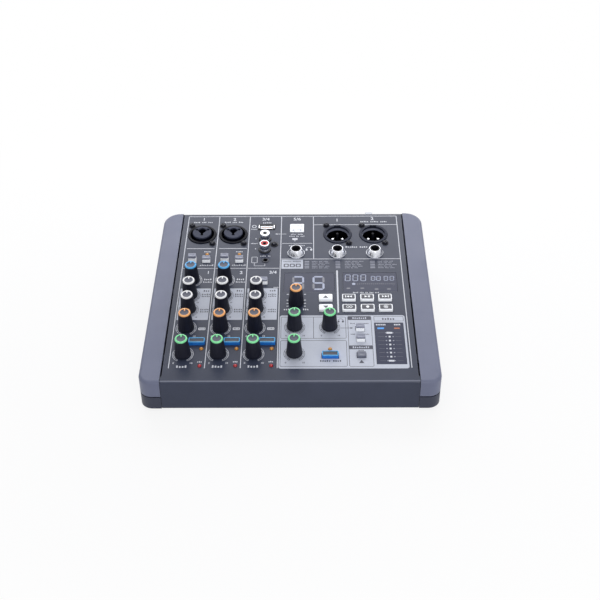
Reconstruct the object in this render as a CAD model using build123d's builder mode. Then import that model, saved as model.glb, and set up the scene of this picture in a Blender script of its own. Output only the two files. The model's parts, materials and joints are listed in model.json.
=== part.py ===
from build123d import *
import math
import os

# A small desktop mixing console. Millimetres, +Z up, +Y to the back, +X to the right.
# The origin is the middle of the footprint, on the surface that the feet stand on.

# ---- driving dimensions: case ------------------------------------------------
case_width = 225.6            # over both cheeks
panel_width = 190.8           # printed panel, between the two grooves
body_depth = 202.4            # front of the cheeks to their backs
front_height = 25.4           # case bottom to the front crease
panel_slope = 6.0             # degrees, rising to the back
foot_height = 2.5             # visible part of a foot
sheet = 1.2                   # steel sheet of cover and pan
bend_radius = 2.4             # outside radius of the cover's bends
cheek_gap = 1.2               # groove between panel and cheek
seam_gap = 0.2                # the same joint, in front of the groove
cheek_proud = 0.5             # cheek stands above and ahead of the sheet by this
cheek_wall = 2.2
cheek_front_radius = 9.5      # plan corners
cheek_back_radius = 14.0
cheek_edge_radius = 2.6
cheek_split = 13.8            # height of the groove between cheek and cheek base
split_groove = 0.9            # height of that groove
slip = 0.1                    # clearance of seated sheet and plastic parts
datum_setback = 12.5          # front crease to the panel's datum line, row = 0
groove_start = -6.5           # row where the groove begins

# ---- driving dimensions: inside ----------------------------------------------
board_depth = 19.0            # panel's top face to the board's top face
board_thick = 1.6
board_half_width = 90.0
board_rows = (-4.0, 184.0)    # front and back edge of the board

# ---- driving dimensions: knobs -----------------------------------------------
knob_base_radius = 6.3
knob_top_radius = 5.0
knob_height = 17.4            # panel to the top of the coloured ring
ring_radius = 4.6
ring_height = 1.3
ring_bore = 3.1
knob_lift = 0.8               # panel to the knob's lower edge
knob_hollow = 9.0             # depth of the hollow under the knob
knob_wall = 1.1               # skirt round that hollow
hub_wall = 1.0                # hub round the shaft
ring_step = 0.2               # ring's top above the knob's middle
shaft_radius = 3.0
shaft_fit = 0.05              # radial running fit in the potentiometer
shaft_in_knob = 11.0          # shaft's upper end above the panel
pot_size = (9.6, 11.2)
pot_body = 7.0                # height of the potentiometer on the board
pot_bore_floor = 1.2          # the shaft ends this far above the board
pot_end_gap = 0.3             # gap under the shaft's end
pot_neck = 2.5                # threaded neck on the potentiometer
pot_neck_wall = 1.2
panel_hole_radius = 3.8       # hole in the panel for a potentiometer's shaft

# ---- driving dimensions: buttons ---------------------------------------------
cap_fit = 0.35                # gap between a cap and the edge of its window
cap_root = 3.5                # a cap reaches this far below the panel's top face
stem_side = 3.0               # square stem under a cap
stem_fit = 0.15
switch_side = 6.4
switch_height = 7.0
stem_floor = 0.6              # gap left under a stem that is pushed fully in
latch_travel = 2.2
mute_travel = 1.5
tact_travel = 0.6
stem_grip = 2.0               # least depth of a stem inside its switch

# ---- driving dimensions: connectors ------------------------------------------
xlr_bore = 10.0
xlr_shell = 12.2
xlr_rim = 0.8                 # rim above the panel
xlr_cup = 15.0                # depth of the cup below the panel
xlr_pin_circle = 4.9
xlr_pin_radius = 1.2
xlr_pin_top = -3.0
notch_size = (5.4, 3.0)
combo_disc = 8.0
combo_disc_top = 3.0
combo_moat = 10.3
combo_moat_depth = 12.0
combo_lobe_depth = 4.5
flange_size = (26.0, 30.0)
flange_thick = 1.6
flange_screws = (9.5, 12.0)   # half spacings of the two fixing screws
jack_bore = 3.25
jack_bush = 4.1
jack_nut_base = 7.2
jack_nut_top = 4.6
jack_nut_height = 5.7
jack_nut_foot = 0.9           # straight foot under the nut's cone
jack_sleeve_sink = 0.3        # sleeve's end below the nut's top
jack_body = 14.0
jack_bore_depth = 16.0
rca_radius = 4.15
rca_bore = 1.65
rca_height = 7.5
rca_collar = 5.3
rca_collar_top = 0.8
usb_a_mouth = (14.8, 7.2)
usb_corner = 0.8
usb_a_slot = (12.5, 5.1)
usb_b_mouth = (12.2, 11.2)
usb_b_slot = (8.6, 7.9)
mini_bore = 1.8
mini_collar = 3.0
screw_head_radius = 2.4
screw_head_height = 2.0
screw_shank_radius = 1.4
led_radius = 1.5
led_dome = 1.4                # dome above the panel
led_root = 2.4                # radius of the spacer under the panel
hole_fit = 0.15               # radial gap round fixed parts in the panel

# ---- driving dimensions: rear ------------------------------------------------
power_cap = 6.4
power_travel = 2.5
power_proud = 8.0
power_x = 67.5
power_drop = 7.0              # rear top edge to the middle of the power cap
inlet_x = 45.0
inlet_radius = 4.0
inlet_bore = 2.9
inlet_depth = 9.0

# ---- layout on the panel: (column, row), row 0 on the datum line ----------------
channels = (-81.5, -54.7, -27.9)          # columns of the knobs
trim_row, high_row, low_row, effect_row, level_row = 101.0, 82.2, 65.3, 45.0, 16.5
master_row = 45.5
knobs = {}
for number, column in enumerate(channels, start=1):
    if number < 3:
        knobs[f"trim_knob_{number}"] = (column, trim_row)
    knobs[f"high_knob_{number}"] = (column, high_row)
    knobs[f"low_knob_{number}"] = (column, low_row)
    knobs[f"effect_knob_{number}"] = (column, effect_row)
    knobs[f"level_knob_{number}"] = (column, level_row)
knobs["parameter_knob"] = (4.0, 73.2)
knobs["return_knob"] = (3.0, master_row)
knobs["phones_knob"] = (30.2, master_row)
knobs["main_knob"] = (3.0, 16.8)

small_cap = (6.6, 5.4)
wide_cap = (12.6, 5.4)
key_cap = (11.0, 7.2)
# name: (column, row, cap size, height above the panel, up travel, down travel)
key_rows = (66.6, 78.6)
key_height = 1.8
mute_row = 29.0
mute_height = 3.2
latched_out, latched_in = 3.8, 1.9      # heights of a small cap over the panel
pad_height = 6.0
switch_row = 125.8
buttons = {
    "pad_switch_1": (-83.4, switch_row, small_cap, pad_height, 0.0, latch_travel),
    "pad_switch_2": (-56.4, switch_row, small_cap, pad_height, 0.0, latch_travel),
    "phantom_switch_1": (-71.8, switch_row, small_cap, latched_out, latch_travel, 0.0),
    "phantom_switch_2": (-44.2, switch_row, small_cap, latched_out, latch_travel, 0.0),
    "mono_switch": (-23.0, 98.4, small_cap, latched_out, 0.0, latch_travel),
    "mute_button_1": (-71.9, mute_row, wide_cap, mute_height, 0.0, mute_travel),
    "mute_button_2": (-45.0, mute_row, wide_cap, mute_height, 0.0, mute_travel),
    "mute_button_3": (-18.0, mute_row, wide_cap, mute_height, 0.0, mute_travel),
    "main_mute_button": (30.2, 14.5, wide_cap, mute_height, 0.0, mute_travel),
    "up_button": (27.6, key_rows[1], key_cap, key_height, 0.0, tact_travel),
    "down_button": (27.6, key_rows[0], key_cap, key_height, 0.0, tact_travel),
    "listen_switch": (53.9, 43.6, small_cap, latched_out, 0.0, latch_travel),
    "route_switch": (53.9, 32.0, small_cap, latched_out, 0.0, latch_travel),
    "supply_switch": (53.9, 15.1, small_cap, latched_in, latch_travel, 0.0),
}
player_columns = (46.2, 60.8, 75.2)
player_names = (("repeat_key", "record_key", "link_key"), ("back_key", "play_key", "next_key"))
for row, names in zip(key_rows, player_names):
    for column, name in zip(player_columns, names):
        buttons[name] = (column, row, key_cap, key_height, 0.0, tact_travel)

connector_row = 160.0
combo_places = ((-77.8, connector_row), (-50.9, connector_row))
xlr_places = ((38.9, connector_row), (69.7, connector_row))
jack_places = ((3.4, 134.7), (38.3, 134.7), (69.7, 134.7))
rca_places = ((-23.3, 139.6), (-23.3, 153.4))
rca_screw = (-15.3, 146.5)
usb_a_place = (-22.5, 170.3)
usb_b_place = (3.9, 168.6)
mini_place = (-22.3, 125.8)
led_places = (
    (-68.0, 22.2), (-41.1, 22.2), (-14.2, 22.2),      # mute lamps
    (-68.0, 4.4), (-41.1, 4.4), (-14.2, 4.4),         # overload lamps
    (-71.6, 133.4), (-44.4, 133.4),                   # supply lamps
    (30.2, 21.6),                                     # main mute lamp
)
effects_window = (14.4, 98.2, 41.0, 23.0)             # column, row, width, depth
player_window = (64.0, 98.2, 44.0, 23.0)
meter_window = (76.4, 28.0, 22.6, 44.6)
window_thick = 1.5
window_sink = 0.1
module_inset = 2.0

# ---- planes worked out from the dimensions above --------------------------------
slope_sin = math.sin(math.radians(panel_slope))
slope_cos = math.cos(math.radians(panel_slope))
total_depth = body_depth + power_proud - cheek_proud
front_y = -total_depth / 2 + cheek_proud       # outer face of the apron
rear_y = front_y + body_depth - 2 * cheek_proud
crease_z = foot_height + front_height
rear_z = crease_z + (rear_y - front_y) * slope_sin / slope_cos
panel_half = panel_width / 2
cheek_inner = panel_half + cheek_gap
apron_half = cheek_inner - seam_gap
cheek_outer = case_width / 2
panel = Plane(
    origin=(0, front_y + datum_setback * slope_cos, crease_z + datum_setback * slope_sin),
    x_dir=(1, 0, 0),
    z_dir=(0, -slope_sin, slope_cos),
)
board_top = -board_depth


def spot(place, height=0.0):
    """A plane parallel to the panel, its origin over place and height above the panel."""
    return Plane(
        origin=panel.from_local_coords(Vector(place[0], place[1], height)),
        x_dir=panel.x_dir,
        z_dir=panel.z_dir,
    )


def row_y(row, height=0.0):
    """World Y of a row of the panel, at a height above it."""
    return panel.from_local_coords(Vector(0, row, height)).Y


def panel_z(y, height=0.0):
    """World Z of the panel's face at world Y, moved by height along the normal."""
    return crease_z + (y - front_y) * slope_sin / slope_cos + height / slope_cos


def save(part, label):
    part.label = label
    export_step(part, f"parts/{label}.step")


os.makedirs("parts", exist_ok=True)

# ---- top cover: one sheet bent into apron, panel and rear wall -------------------
with BuildPart() as top_cover:
    with BuildSketch(Plane.YZ.offset(-apron_half)):
        with BuildLine():
            FilletPolyline(
                (front_y, foot_height),
                (front_y, crease_z),
                (rear_y, rear_z),
                (rear_y, foot_height),
                radius=bend_radius,
            )
            offset(amount=sheet, side=Side.RIGHT)
        make_face()
    extrude(amount=2 * apron_half)
    # between the apron and the rear wall the panel is narrower: the groove by the cheeks
    groove_y = row_y(groove_start)
    groove_end = rear_y - sheet
    with BuildSketch(Plane.XY):
        for side in (-1, 1):
            with Locations((side * (panel_half + cheek_gap), (groove_y + groove_end) / 2)):
                Rectangle(2 * cheek_gap, groove_end - groove_y)
    extrude(amount=2 * rear_z, mode=Mode.SUBTRACT)
    # holes through the panel
    with BuildSketch(panel.offset(2 * sheet)):
        with Locations(*knobs.values()):
            Circle(panel_hole_radius)
        for column, row, size, height, up, down in buttons.values():
            with Locations((column, row)):
                RectangleRounded(size[0] + 2 * cap_fit, size[1] + 2 * cap_fit, 0.6)
        with Locations(*combo_places, *xlr_places):
            Circle(xlr_shell + hole_fit)
        for column, row in (*combo_places, *xlr_places):
            with Locations(
                (column - flange_screws[0], row + flange_screws[1]),
                (column + flange_screws[0], row - flange_screws[1]),
            ):
                Circle(screw_shank_radius + hole_fit)
        with Locations(rca_screw):
            Circle(screw_shank_radius + hole_fit)
        with Locations(*jack_places):
            Circle(jack_bush + hole_fit)
        with Locations(*rca_places):
            Circle(rca_radius + 2 * hole_fit)
        with Locations(usb_a_place):
            RectangleRounded(usb_a_mouth[0] + 2 * hole_fit, usb_a_mouth[1] + 2 * hole_fit, usb_corner)
        with Locations(usb_b_place):
            RectangleRounded(usb_b_mouth[0] + 2 * hole_fit, usb_b_mouth[1] + 2 * hole_fit, usb_corner)
        with Locations(mini_place):
            Circle(mini_collar + hole_fit)
        with Locations(*led_places):
            Circle(led_radius + hole_fit)
        for column, row, width, depth in (effects_window, player_window, meter_window):
            with Locations((column, row)):
                Rectangle(width + 2 * hole_fit, depth + 2 * hole_fit)
    extrude(amount=-4 * sheet, mode=Mode.SUBTRACT)
    # holes through the rear wall
    power_z = rear_z - power_drop
    with BuildSketch(Plane.XZ.offset(-rear_y - sheet)):
        with Locations((power_x, power_z)):
            RectangleRounded(power_cap + 2 * cap_fit, power_cap + 2 * cap_fit, 0.8)
        with Locations((inlet_x, power_z)):
            Circle(inlet_radius + hole_fit)
    extrude(amount=3 * sheet, mode=Mode.SUBTRACT)
save(top_cover.part, "top_cover")

# ---- base pan: bottom plate with two side walls under the panel's edges ---------
pan_front = front_y + sheet + slip
pan_back = rear_y - sheet - slip
wall_half = panel_half
cheek_screw_rows = (20.0, 95.0, 170.0)
base_screw_setback = 22.0
base_screw_ys = (pan_front + base_screw_setback, pan_back - base_screw_setback)
base_screw_z = foot_height + 5.6
cheek_screw_drop = 8.0          # panel's face down to the screw's axis
screw_places = [(row_y(row), panel_z(row_y(row)) - cheek_screw_drop) for row in cheek_screw_rows]
screw_places += [(y, base_screw_z) for y in base_screw_ys]
foot_radius = 6.5
foot_peg = 2.0
foot_peg_proud = 1.0            # peg's end above the pan
foot_setback = 16.0             # pan's edges to the middle of a foot
foot_places = [
    (side * (wall_half - foot_setback), y)
    for side in (-1, 1)
    for y in (pan_front + foot_setback, pan_back - foot_setback)
]
with BuildPart() as base_pan:
    with BuildSketch(Plane.XY.offset(foot_height)):
        with Locations((0, (pan_front + pan_back) / 2)):
            Rectangle(2 * wall_half, pan_back - pan_front)
        with Locations(*foot_places):
            Circle(foot_peg + slip, mode=Mode.SUBTRACT)
    extrude(amount=sheet)
    for side in (-1, 1):
        with BuildSketch(Plane.YZ.offset(side * wall_half)):
            with BuildLine():
                Polyline(
                    (pan_front, foot_height),
                    (pan_back, foot_height),
                    (pan_back, panel_z(pan_back, -sheet - slip) - bend_radius),
                    (pan_back - bend_radius, panel_z(pan_back - bend_radius, -sheet - slip)),
                    (pan_front + bend_radius, panel_z(pan_front + bend_radius, -sheet - slip)),
                    (pan_front, panel_z(pan_front, -sheet - slip) - bend_radius),
                    close=True,
                )
            make_face()
            with Locations(*screw_places):
                Circle(screw_shank_radius + slip, mode=Mode.SUBTRACT)
        extrude(amount=-side * sheet)
save(base_pan.part, "base_pan")


def cheek_block(inset, bottom):
    """The right cheek's outer form, or with an inset the cavity inside it."""
    front = front_y - cheek_proud + inset
    back = rear_y + cheek_proud - inset
    with BuildPart() as block:
        with BuildSketch(Plane.XY.offset(bottom)) as outline:
            with BuildLine():
                Polyline(
                    (cheek_inner, front),
                    (cheek_outer - inset, front),
                    (cheek_outer - inset, back),
                    (cheek_inner, back),
                    close=True,
                )
            make_face()
            front_corner = outline.vertices().group_by(Axis.Y)[0].sort_by(Axis.X)[-1]
            fillet(front_corner, radius=cheek_front_radius - inset)
            back_corner = outline.vertices().group_by(Axis.Y)[-1].sort_by(Axis.X)[-1]
            fillet(back_corner, radius=cheek_back_radius - inset)
        extrude(amount=rear_z)
        split(bisect_by=panel.offset(cheek_proud - inset), keep=Keep.BOTTOM)
        if inset == 0:
            top = block.faces().sort_by(Axis((0, 0, 0), tuple(panel.z_dir)))[-1]
            outer = [e for e in top.edges() if e.center().X > cheek_inner + 0.5]
            fillet(outer, radius=cheek_edge_radius)
    return block.part


# ---- right cheek: hollow moulding, open on its inner side, screwed to the pan ----
cheek_outer_form = cheek_block(0, foot_height)
cheek_cavity = cheek_block(cheek_wall, foot_height - 1.0)
boss_radius = 3.2
pilot_radius = screw_shank_radius
pilot_depth = 8.0
shell_bottom = cheek_split + split_groove / 2
base_top = cheek_split - split_groove / 2
with BuildPart() as right_cheek:
    add(cheek_outer_form)
    split(bisect_by=Plane.XY.offset(shell_bottom), keep=Keep.TOP)
    add(cheek_cavity, mode=Mode.SUBTRACT)
    with BuildSketch(Plane.YZ.offset(panel_half)):
        with Locations(*screw_places[:len(cheek_screw_rows)]):
            Circle(boss_radius)
    extrude(amount=cheek_outer - panel_half - cheek_wall / 2)
    with BuildSketch(Plane.YZ.offset(panel_half)):
        with Locations(*screw_places[:len(cheek_screw_rows)]):
            Circle(pilot_radius)
    extrude(amount=pilot_depth, mode=Mode.SUBTRACT)
save(right_cheek.part, "right_cheek")

with BuildPart() as left_cheek:
    mirror(right_cheek.part, about=Plane.YZ)
save(left_cheek.part, "left_cheek")

# ---- cheek bases: the dark lower trays, with a lip that enters the cheeks --------
lip_height = 2.2
lip_wall = 1.2
with BuildPart() as cheek_base:
    add(cheek_outer_form)
    split(bisect_by=Plane.XY.offset(base_top), keep=Keep.BOTTOM)
    add(cheek_cavity.moved(Location((0, 0, cheek_wall + 1.0))), mode=Mode.SUBTRACT)
with BuildPart() as cheek_lip:
    add(cheek_block(cheek_wall + slip, foot_height + cheek_wall))
    split(bisect_by=Plane.XY.offset(shell_bottom + lip_height), keep=Keep.BOTTOM)
    add(
        cheek_block(cheek_wall + slip + lip_wall, foot_height + cheek_wall - 1.0),
        mode=Mode.SUBTRACT,
    )
    split(bisect_by=Plane.XY.offset(foot_height + cheek_wall), keep=Keep.TOP)
with BuildPart() as cheek_tray:
    add(cheek_base.part)
    add(cheek_lip.part)
    with BuildSketch(Plane.YZ.offset(panel_half)):
        with Locations(*screw_places[len(cheek_screw_rows):]):
            Circle(boss_radius)
    extrude(amount=cheek_outer - panel_half - cheek_wall / 2)
    with BuildSketch(Plane.YZ.offset(panel_half)):
        with Locations(*screw_places[len(cheek_screw_rows):]):
            Circle(pilot_radius)
    extrude(amount=pilot_depth, mode=Mode.SUBTRACT)
with BuildPart() as cheek_bases:
    add(cheek_tray.part)
    mirror(cheek_tray.part, about=Plane.YZ)
save(cheek_bases.part, "cheek_bases")

# ---- feet: rubber discs with a peg through the pan ------------------------------
with BuildPart() as feet:
    with BuildSketch(Plane.XY):
        with Locations(*foot_places):
            Circle(foot_radius)
    extrude(amount=foot_height)
    with BuildSketch(Plane.XY.offset(foot_height)):
        with Locations(*foot_places):
            Circle(foot_peg)
    extrude(amount=sheet + foot_peg_proud)
save(feet.part, "feet")

# ---- main board -----------------------------------------------------------------
with BuildPart() as main_board:
    with BuildSketch(panel.offset(board_top)):
        with Locations((0, sum(board_rows) / 2)):
            RectangleRounded(2 * board_half_width, board_rows[1] - board_rows[0], 2.0)
    extrude(amount=-board_thick)
save(main_board.part, "main_board")

# ---- potentiometers: a body on the board with a bore for the shaft ---------------
with BuildPart() as potentiometers:
    with BuildSketch(panel.offset(board_top)):
        with Locations(*knobs.values()):
            RectangleRounded(pot_size[0], pot_size[1], 0.5)
    extrude(amount=pot_body)
    with BuildSketch(panel.offset(board_top + pot_body)):
        with Locations(*knobs.values()):
            Circle(shaft_radius + pot_neck_wall)
    extrude(amount=pot_neck)
    with BuildSketch(panel.offset(board_top + pot_bore_floor - pot_end_gap)):
        with Locations(*knobs.values()):
            Circle(shaft_radius + shaft_fit)
    extrude(amount=board_depth, mode=Mode.SUBTRACT)
save(potentiometers.part, "potentiometers")


def make_knob(place):
    """A knob: shaft, black body with a hollow skirt, and the coloured ring on top."""
    body_top = knob_height - ring_height
    with BuildPart() as knob:
        with BuildSketch(spot(place, knob_lift)):
            Circle(knob_base_radius)
        with BuildSketch(spot(place, body_top)):
            Circle(knob_top_radius)
        loft()
        fillet(knob.edges().sort_by(Axis((0, 0, 0), tuple(panel.z_dir)))[-1], radius=0.4)
        # hollow skirt round a central hub
        with BuildSketch(spot(place, knob_lift)):
            Circle(knob_base_radius - knob_wall)
            Circle(shaft_radius + hub_wall, mode=Mode.SUBTRACT)
        extrude(amount=knob_hollow, mode=Mode.SUBTRACT)
        with BuildSketch(spot(place, knob_lift)):
            Circle(shaft_radius)
        extrude(amount=shaft_in_knob - knob_lift, mode=Mode.SUBTRACT)
        # seat for the ring
        with BuildSketch(spot(place, body_top)):
            Circle(ring_bore)
        extrude(amount=ring_height - ring_step)
    with BuildPart() as ring:
        with BuildSketch(spot(place, body_top)):
            Circle(ring_radius)
        extrude(amount=ring_height)
        chamfer(ring.edges().sort_by(Axis((0, 0, 0), tuple(panel.z_dir)))[-1], length=0.5)
        with BuildSketch(spot(place, body_top)):
            Circle(ring_bore)
        extrude(amount=ring_height, mode=Mode.SUBTRACT)
    with BuildPart() as shaft:
        with BuildSketch(spot(place, board_top + pot_bore_floor)):
            Circle(shaft_radius)
        extrude(amount=board_depth - pot_bore_floor + shaft_in_knob)
    return Compound(children=[knob.part.solid(), ring.part.solid(), shaft.part.solid()])


for name, place in knobs.items():
    save(make_knob(place), name)


switch_floor = board_top + 1.0  # floor of every switch's well


def stem_end(down):
    """Height of the lower end of a button's stem, clear of the floor when pushed in."""
    return switch_floor + stem_floor + down


def make_button(column, row, size, height, down):
    """A push cap: head, guide block under the panel and square stem into its switch."""
    place = (column, row)
    end = stem_end(down)
    with BuildPart() as button:
        with BuildSketch(spot(place, -cap_root)):
            RectangleRounded(size[0], size[1], 0.5)
        extrude(amount=cap_root + height)
        top = button.faces().sort_by(Axis((0, 0, 0), tuple(panel.z_dir)))[-1]
        fillet(top.edges(), radius=0.35)
        with BuildSketch(spot(place, end)):
            Rectangle(stem_side, stem_side)
        extrude(amount=-cap_root - end)
    return button.part


for name, (column, row, size, height, up, down) in buttons.items():
    save(make_button(column, row, size, height, down), name)

# ---- power switch: a push cap through the rear wall ------------------------------
power_root = 4.0               # cap reaches this far inside the rear face
power_stem = 6.0
rear_plane = Plane.XZ.offset(-rear_y)
with BuildPart() as power_button:
    with BuildSketch(rear_plane.offset(-power_proud)):
        with Locations((power_x, power_z)):
            RectangleRounded(power_cap, power_cap, 0.7)
    extrude(amount=power_proud + power_root)
    fillet(power_button.faces().sort_by(Axis.Y)[-1].edges(), radius=0.6)
    with BuildSketch(rear_plane.offset(power_root)):
        with Locations((power_x, power_z)):
            Rectangle(stem_side, stem_side)
    extrude(amount=power_stem)
save(power_button.part, "power_button")

# ---- switch bodies: one square body on the board under each cap ------------------
power_body = (11.0, 7.0, 3.5)     # width, length, height above the cap's middle
power_gap = 0.6                # cap to switch when pushed in
power_front = rear_y - power_root - power_travel - power_gap
with BuildPart() as power_switch:
    with BuildSketch(Plane.XZ.offset(-power_front)):
        with Locations((power_x, power_z + power_body[2] - board_depth)):
            Rectangle(power_body[0], 2 * board_depth)
        with Locations((power_x, power_z)):
            Rectangle(stem_side + 2 * stem_fit, stem_side + 2 * stem_fit, mode=Mode.SUBTRACT)
    extrude(amount=power_body[1])
    split(bisect_by=panel.offset(board_top), keep=Keep.TOP)
with BuildPart() as switch_bodies:
    for column, row, size, height, up, down in buttons.values():
        end = stem_end(down)
        with BuildSketch(spot((column, row), board_top)):
            Rectangle(switch_side, switch_side)
        extrude(amount=max(switch_height, end + up + stem_grip - board_top))
        with BuildSketch(spot((column, row), switch_floor)):
            Rectangle(stem_side + 2 * stem_fit, stem_side + 2 * stem_fit)
        extrude(amount=board_depth, mode=Mode.SUBTRACT)
    add(power_switch.part)
save(switch_bodies.part, "switch_bodies")


def connector_flange(place):
    """Outline of a fixing plate under the panel, with its two screw holes."""
    with BuildSketch(spot(place, -sheet)) as plate:
        RectangleRounded(flange_size[0], flange_size[1], 1.5)
        with Locations((-flange_screws[0], flange_screws[1]), (flange_screws[0], -flange_screws[1])):
            Circle(screw_shank_radius, mode=Mode.SUBTRACT)
    return plate.sketch


# ---- XLR outputs: cup with rim, key notch and three pins -------------------------
def make_xlr(place):
    with BuildPart() as shell:
        extrude(connector_flange(place), amount=-flange_thick)
        with BuildSketch(spot(place, board_top)):
            Circle(xlr_shell)
        extrude(amount=board_depth + xlr_rim)
        fillet(shell.edges().sort_by(Axis((0, 0, 0), tuple(panel.z_dir)))[-1], radius=0.4)
        with BuildSketch(spot(place, xlr_rim)):
            Circle(xlr_bore)
            with Locations((0, xlr_bore)):
                Rectangle(notch_size[0], notch_size[1])
        extrude(amount=-xlr_cup - xlr_rim, mode=Mode.SUBTRACT)
        with BuildSketch(spot(place, -xlr_cup)):
            with PolarLocations(xlr_pin_circle, 3, start_angle=90):
                Circle(xlr_pin_radius)
        extrude(amount=xlr_cup + xlr_pin_top)
    return shell.part.solid()


xlr_outputs = Compound(children=[make_xlr(place) for place in xlr_places])
save(xlr_outputs, "xlr_outputs")


# ---- combination jacks: a sleeve, and in it a core with the keyed opening ---------
combo_hole_shift = 2.4            # jack bore's middle behind the core's middle
combo_lobes = ((-4.9, 3.6), (4.9, 3.6), (0.0, -3.2))
combo_lobe_radius = 1.3


def make_combo_sleeve(place):
    """Fixing plate and sleeve, open down to the board."""
    with BuildPart() as sleeve:
        extrude(connector_flange(place), amount=-flange_thick)
        with BuildSketch(spot(place, board_top)):
            Circle(xlr_shell)
        extrude(amount=board_depth + xlr_rim)
        fillet(sleeve.edges().sort_by(Axis((0, 0, 0), tuple(panel.z_dir)))[-1], radius=0.4)
        with BuildSketch(spot(place, board_top)):
            Circle(combo_moat)
        extrude(amount=board_depth + xlr_rim, mode=Mode.SUBTRACT)
    return sleeve.part.solid()


def make_combo_core(place):
    """Core on its foot, with the jack bore and the three key slots."""
    with BuildPart() as core:
        with BuildSketch(spot(place, board_top)):
            Circle(combo_moat - slip)
        extrude(amount=board_depth - combo_moat_depth)
        with BuildSketch(spot(place, board_top)):
            Circle(combo_disc)
        extrude(amount=board_depth + combo_disc_top)
        fillet(core.edges().sort_by(Axis((0, 0, 0), tuple(panel.z_dir)))[-1], radius=0.5)
        with BuildSketch(spot(place, combo_disc_top)):
            with BuildLine():
                Polyline(*combo_lobes, close=True)
            make_face()
            with Locations(*combo_lobes):
                Circle(combo_lobe_radius)
        extrude(amount=-combo_lobe_depth, mode=Mode.SUBTRACT)
        with BuildSketch(spot(place, combo_disc_top)):
            with Locations((0, combo_hole_shift)):
                Circle(jack_bore)
        extrude(amount=-combo_disc_top - jack_bore_depth, mode=Mode.SUBTRACT)
    return core.part.solid()


combo_solids = []
for place in combo_places:
    combo_solids += [make_combo_sleeve(place), make_combo_core(place)]
combo_jacks = Compound(children=combo_solids)
save(combo_jacks, "combo_jacks")


# ---- quarter-inch jacks: body with threaded bush, and the conical nut -------------
def make_jack(place):
    with BuildPart() as body:
        with BuildSketch(spot(place, board_top)):
            RectangleRounded(jack_body, jack_body, 1.0)
        extrude(amount=board_depth - sheet)
        with BuildSketch(spot(place, -sheet)):
            Circle(jack_bush)
        extrude(amount=sheet + jack_nut_height - jack_sleeve_sink)
        with BuildSketch(spot(place, jack_nut_height)):
            Circle(jack_bore)
        extrude(amount=-jack_nut_height - jack_bore_depth, mode=Mode.SUBTRACT)
    with BuildPart() as nut:
        with BuildSketch(spot(place)):
            Circle(jack_nut_base)
        extrude(amount=jack_nut_foot)
        with BuildSketch(spot(place, jack_nut_foot)):
            Circle(jack_nut_base)
        with BuildSketch(spot(place, jack_nut_height)):
            Circle(jack_nut_top)
        loft()
        with BuildSketch(spot(place)):
            Circle(jack_bush)
        extrude(amount=jack_nut_height, mode=Mode.SUBTRACT)
    return [body.part.solid(), nut.part.solid()]


jack_solids = []
for place in jack_places:
    jack_solids += make_jack(place)
save(Compound(children=jack_solids), "quarter_inch_jacks")

# ---- phono pair: one block with two collars, sleeves and bores -------------------
rca_block_size = (13.0, 27.0)
rca_ear = (2.0, 7.0)              # the screw ear's reach past the screw, and its width
rca_bore_floor = 8.0              # bores end this far below the panel
rca_screw_hole = 7.0
with BuildPart() as rca_jacks:
    rca_middle = (rca_places[0][0], (rca_places[0][1] + rca_places[1][1]) / 2)
    with BuildSketch(spot(rca_middle, board_top)):
        Rectangle(*rca_block_size)
        with Locations(((rca_screw[0] - rca_middle[0]) / 2 + rca_ear[0], 0)):
            Rectangle(rca_screw[0] - rca_middle[0], rca_ear[1])
    extrude(amount=board_depth - sheet)
    with BuildSketch(panel.offset(-sheet)):
        with Locations(*rca_places):
            Circle(rca_radius)
    extrude(amount=sheet + rca_height)
    with BuildSketch(panel):
        with Locations(*rca_places):
            Circle(rca_collar)
    extrude(amount=rca_collar_top)
    with BuildSketch(panel.offset(rca_height)):
        with Locations(*rca_places):
            Circle(rca_bore)
    extrude(amount=-rca_height - rca_bore_floor, mode=Mode.SUBTRACT)
    with BuildSketch(panel.offset(-sheet)):
        with Locations(rca_screw):
            Circle(screw_shank_radius)
    extrude(amount=-rca_screw_hole, mode=Mode.SUBTRACT)
save(rca_jacks.part, "rca_jacks")

# ---- USB ports: shells with their tongues ----------------------------------------
usb_slot_depth = 9.0
usb_lip = 0.5
usb_a_tongue = (11.1, 1.9)
usb_a_tongue_shift = 1.2
usb_tongue_sink = 0.6             # tongue's end below the panel
usb_b_tongue = (5.6, 3.2)
with BuildPart() as usb_ports:
    for place, mouth, slot, tongue, shift in (
        (usb_a_place, usb_a_mouth, usb_a_slot, usb_a_tongue, usb_a_tongue_shift),
        (usb_b_place, usb_b_mouth, usb_b_slot, usb_b_tongue, 0.0),
    ):
        with BuildSketch(spot(place, board_top)):
            RectangleRounded(mouth[0], mouth[1], usb_corner)
        extrude(amount=board_depth + usb_lip)
        with BuildSketch(spot(place, usb_lip)):
            Rectangle(slot[0], slot[1])
        extrude(amount=-usb_lip - usb_slot_depth, mode=Mode.SUBTRACT)
        with BuildSketch(spot((place[0], place[1] + shift), -usb_slot_depth)):
            Rectangle(tongue[0], tongue[1])
        extrude(amount=usb_slot_depth - usb_tongue_sink)
save(usb_ports.part, "usb_ports")

# ---- mini jack --------------------------------------------------------------------
mini_body = 7.0
mini_proud = 0.4                  # collar above the panel
mini_depth = 14.0
with BuildPart() as mini_jack:
    with BuildSketch(spot(mini_place, board_top)):
        Rectangle(mini_body, mini_body)
    extrude(amount=board_depth - sheet)
    with BuildSketch(spot(mini_place, -sheet)):
        Circle(mini_collar)
    extrude(amount=sheet + mini_proud)
    with BuildSketch(spot(mini_place, mini_proud)):
        Circle(mini_bore)
    extrude(amount=-mini_depth, mode=Mode.SUBTRACT)
save(mini_jack.part, "mini_jack")


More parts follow.
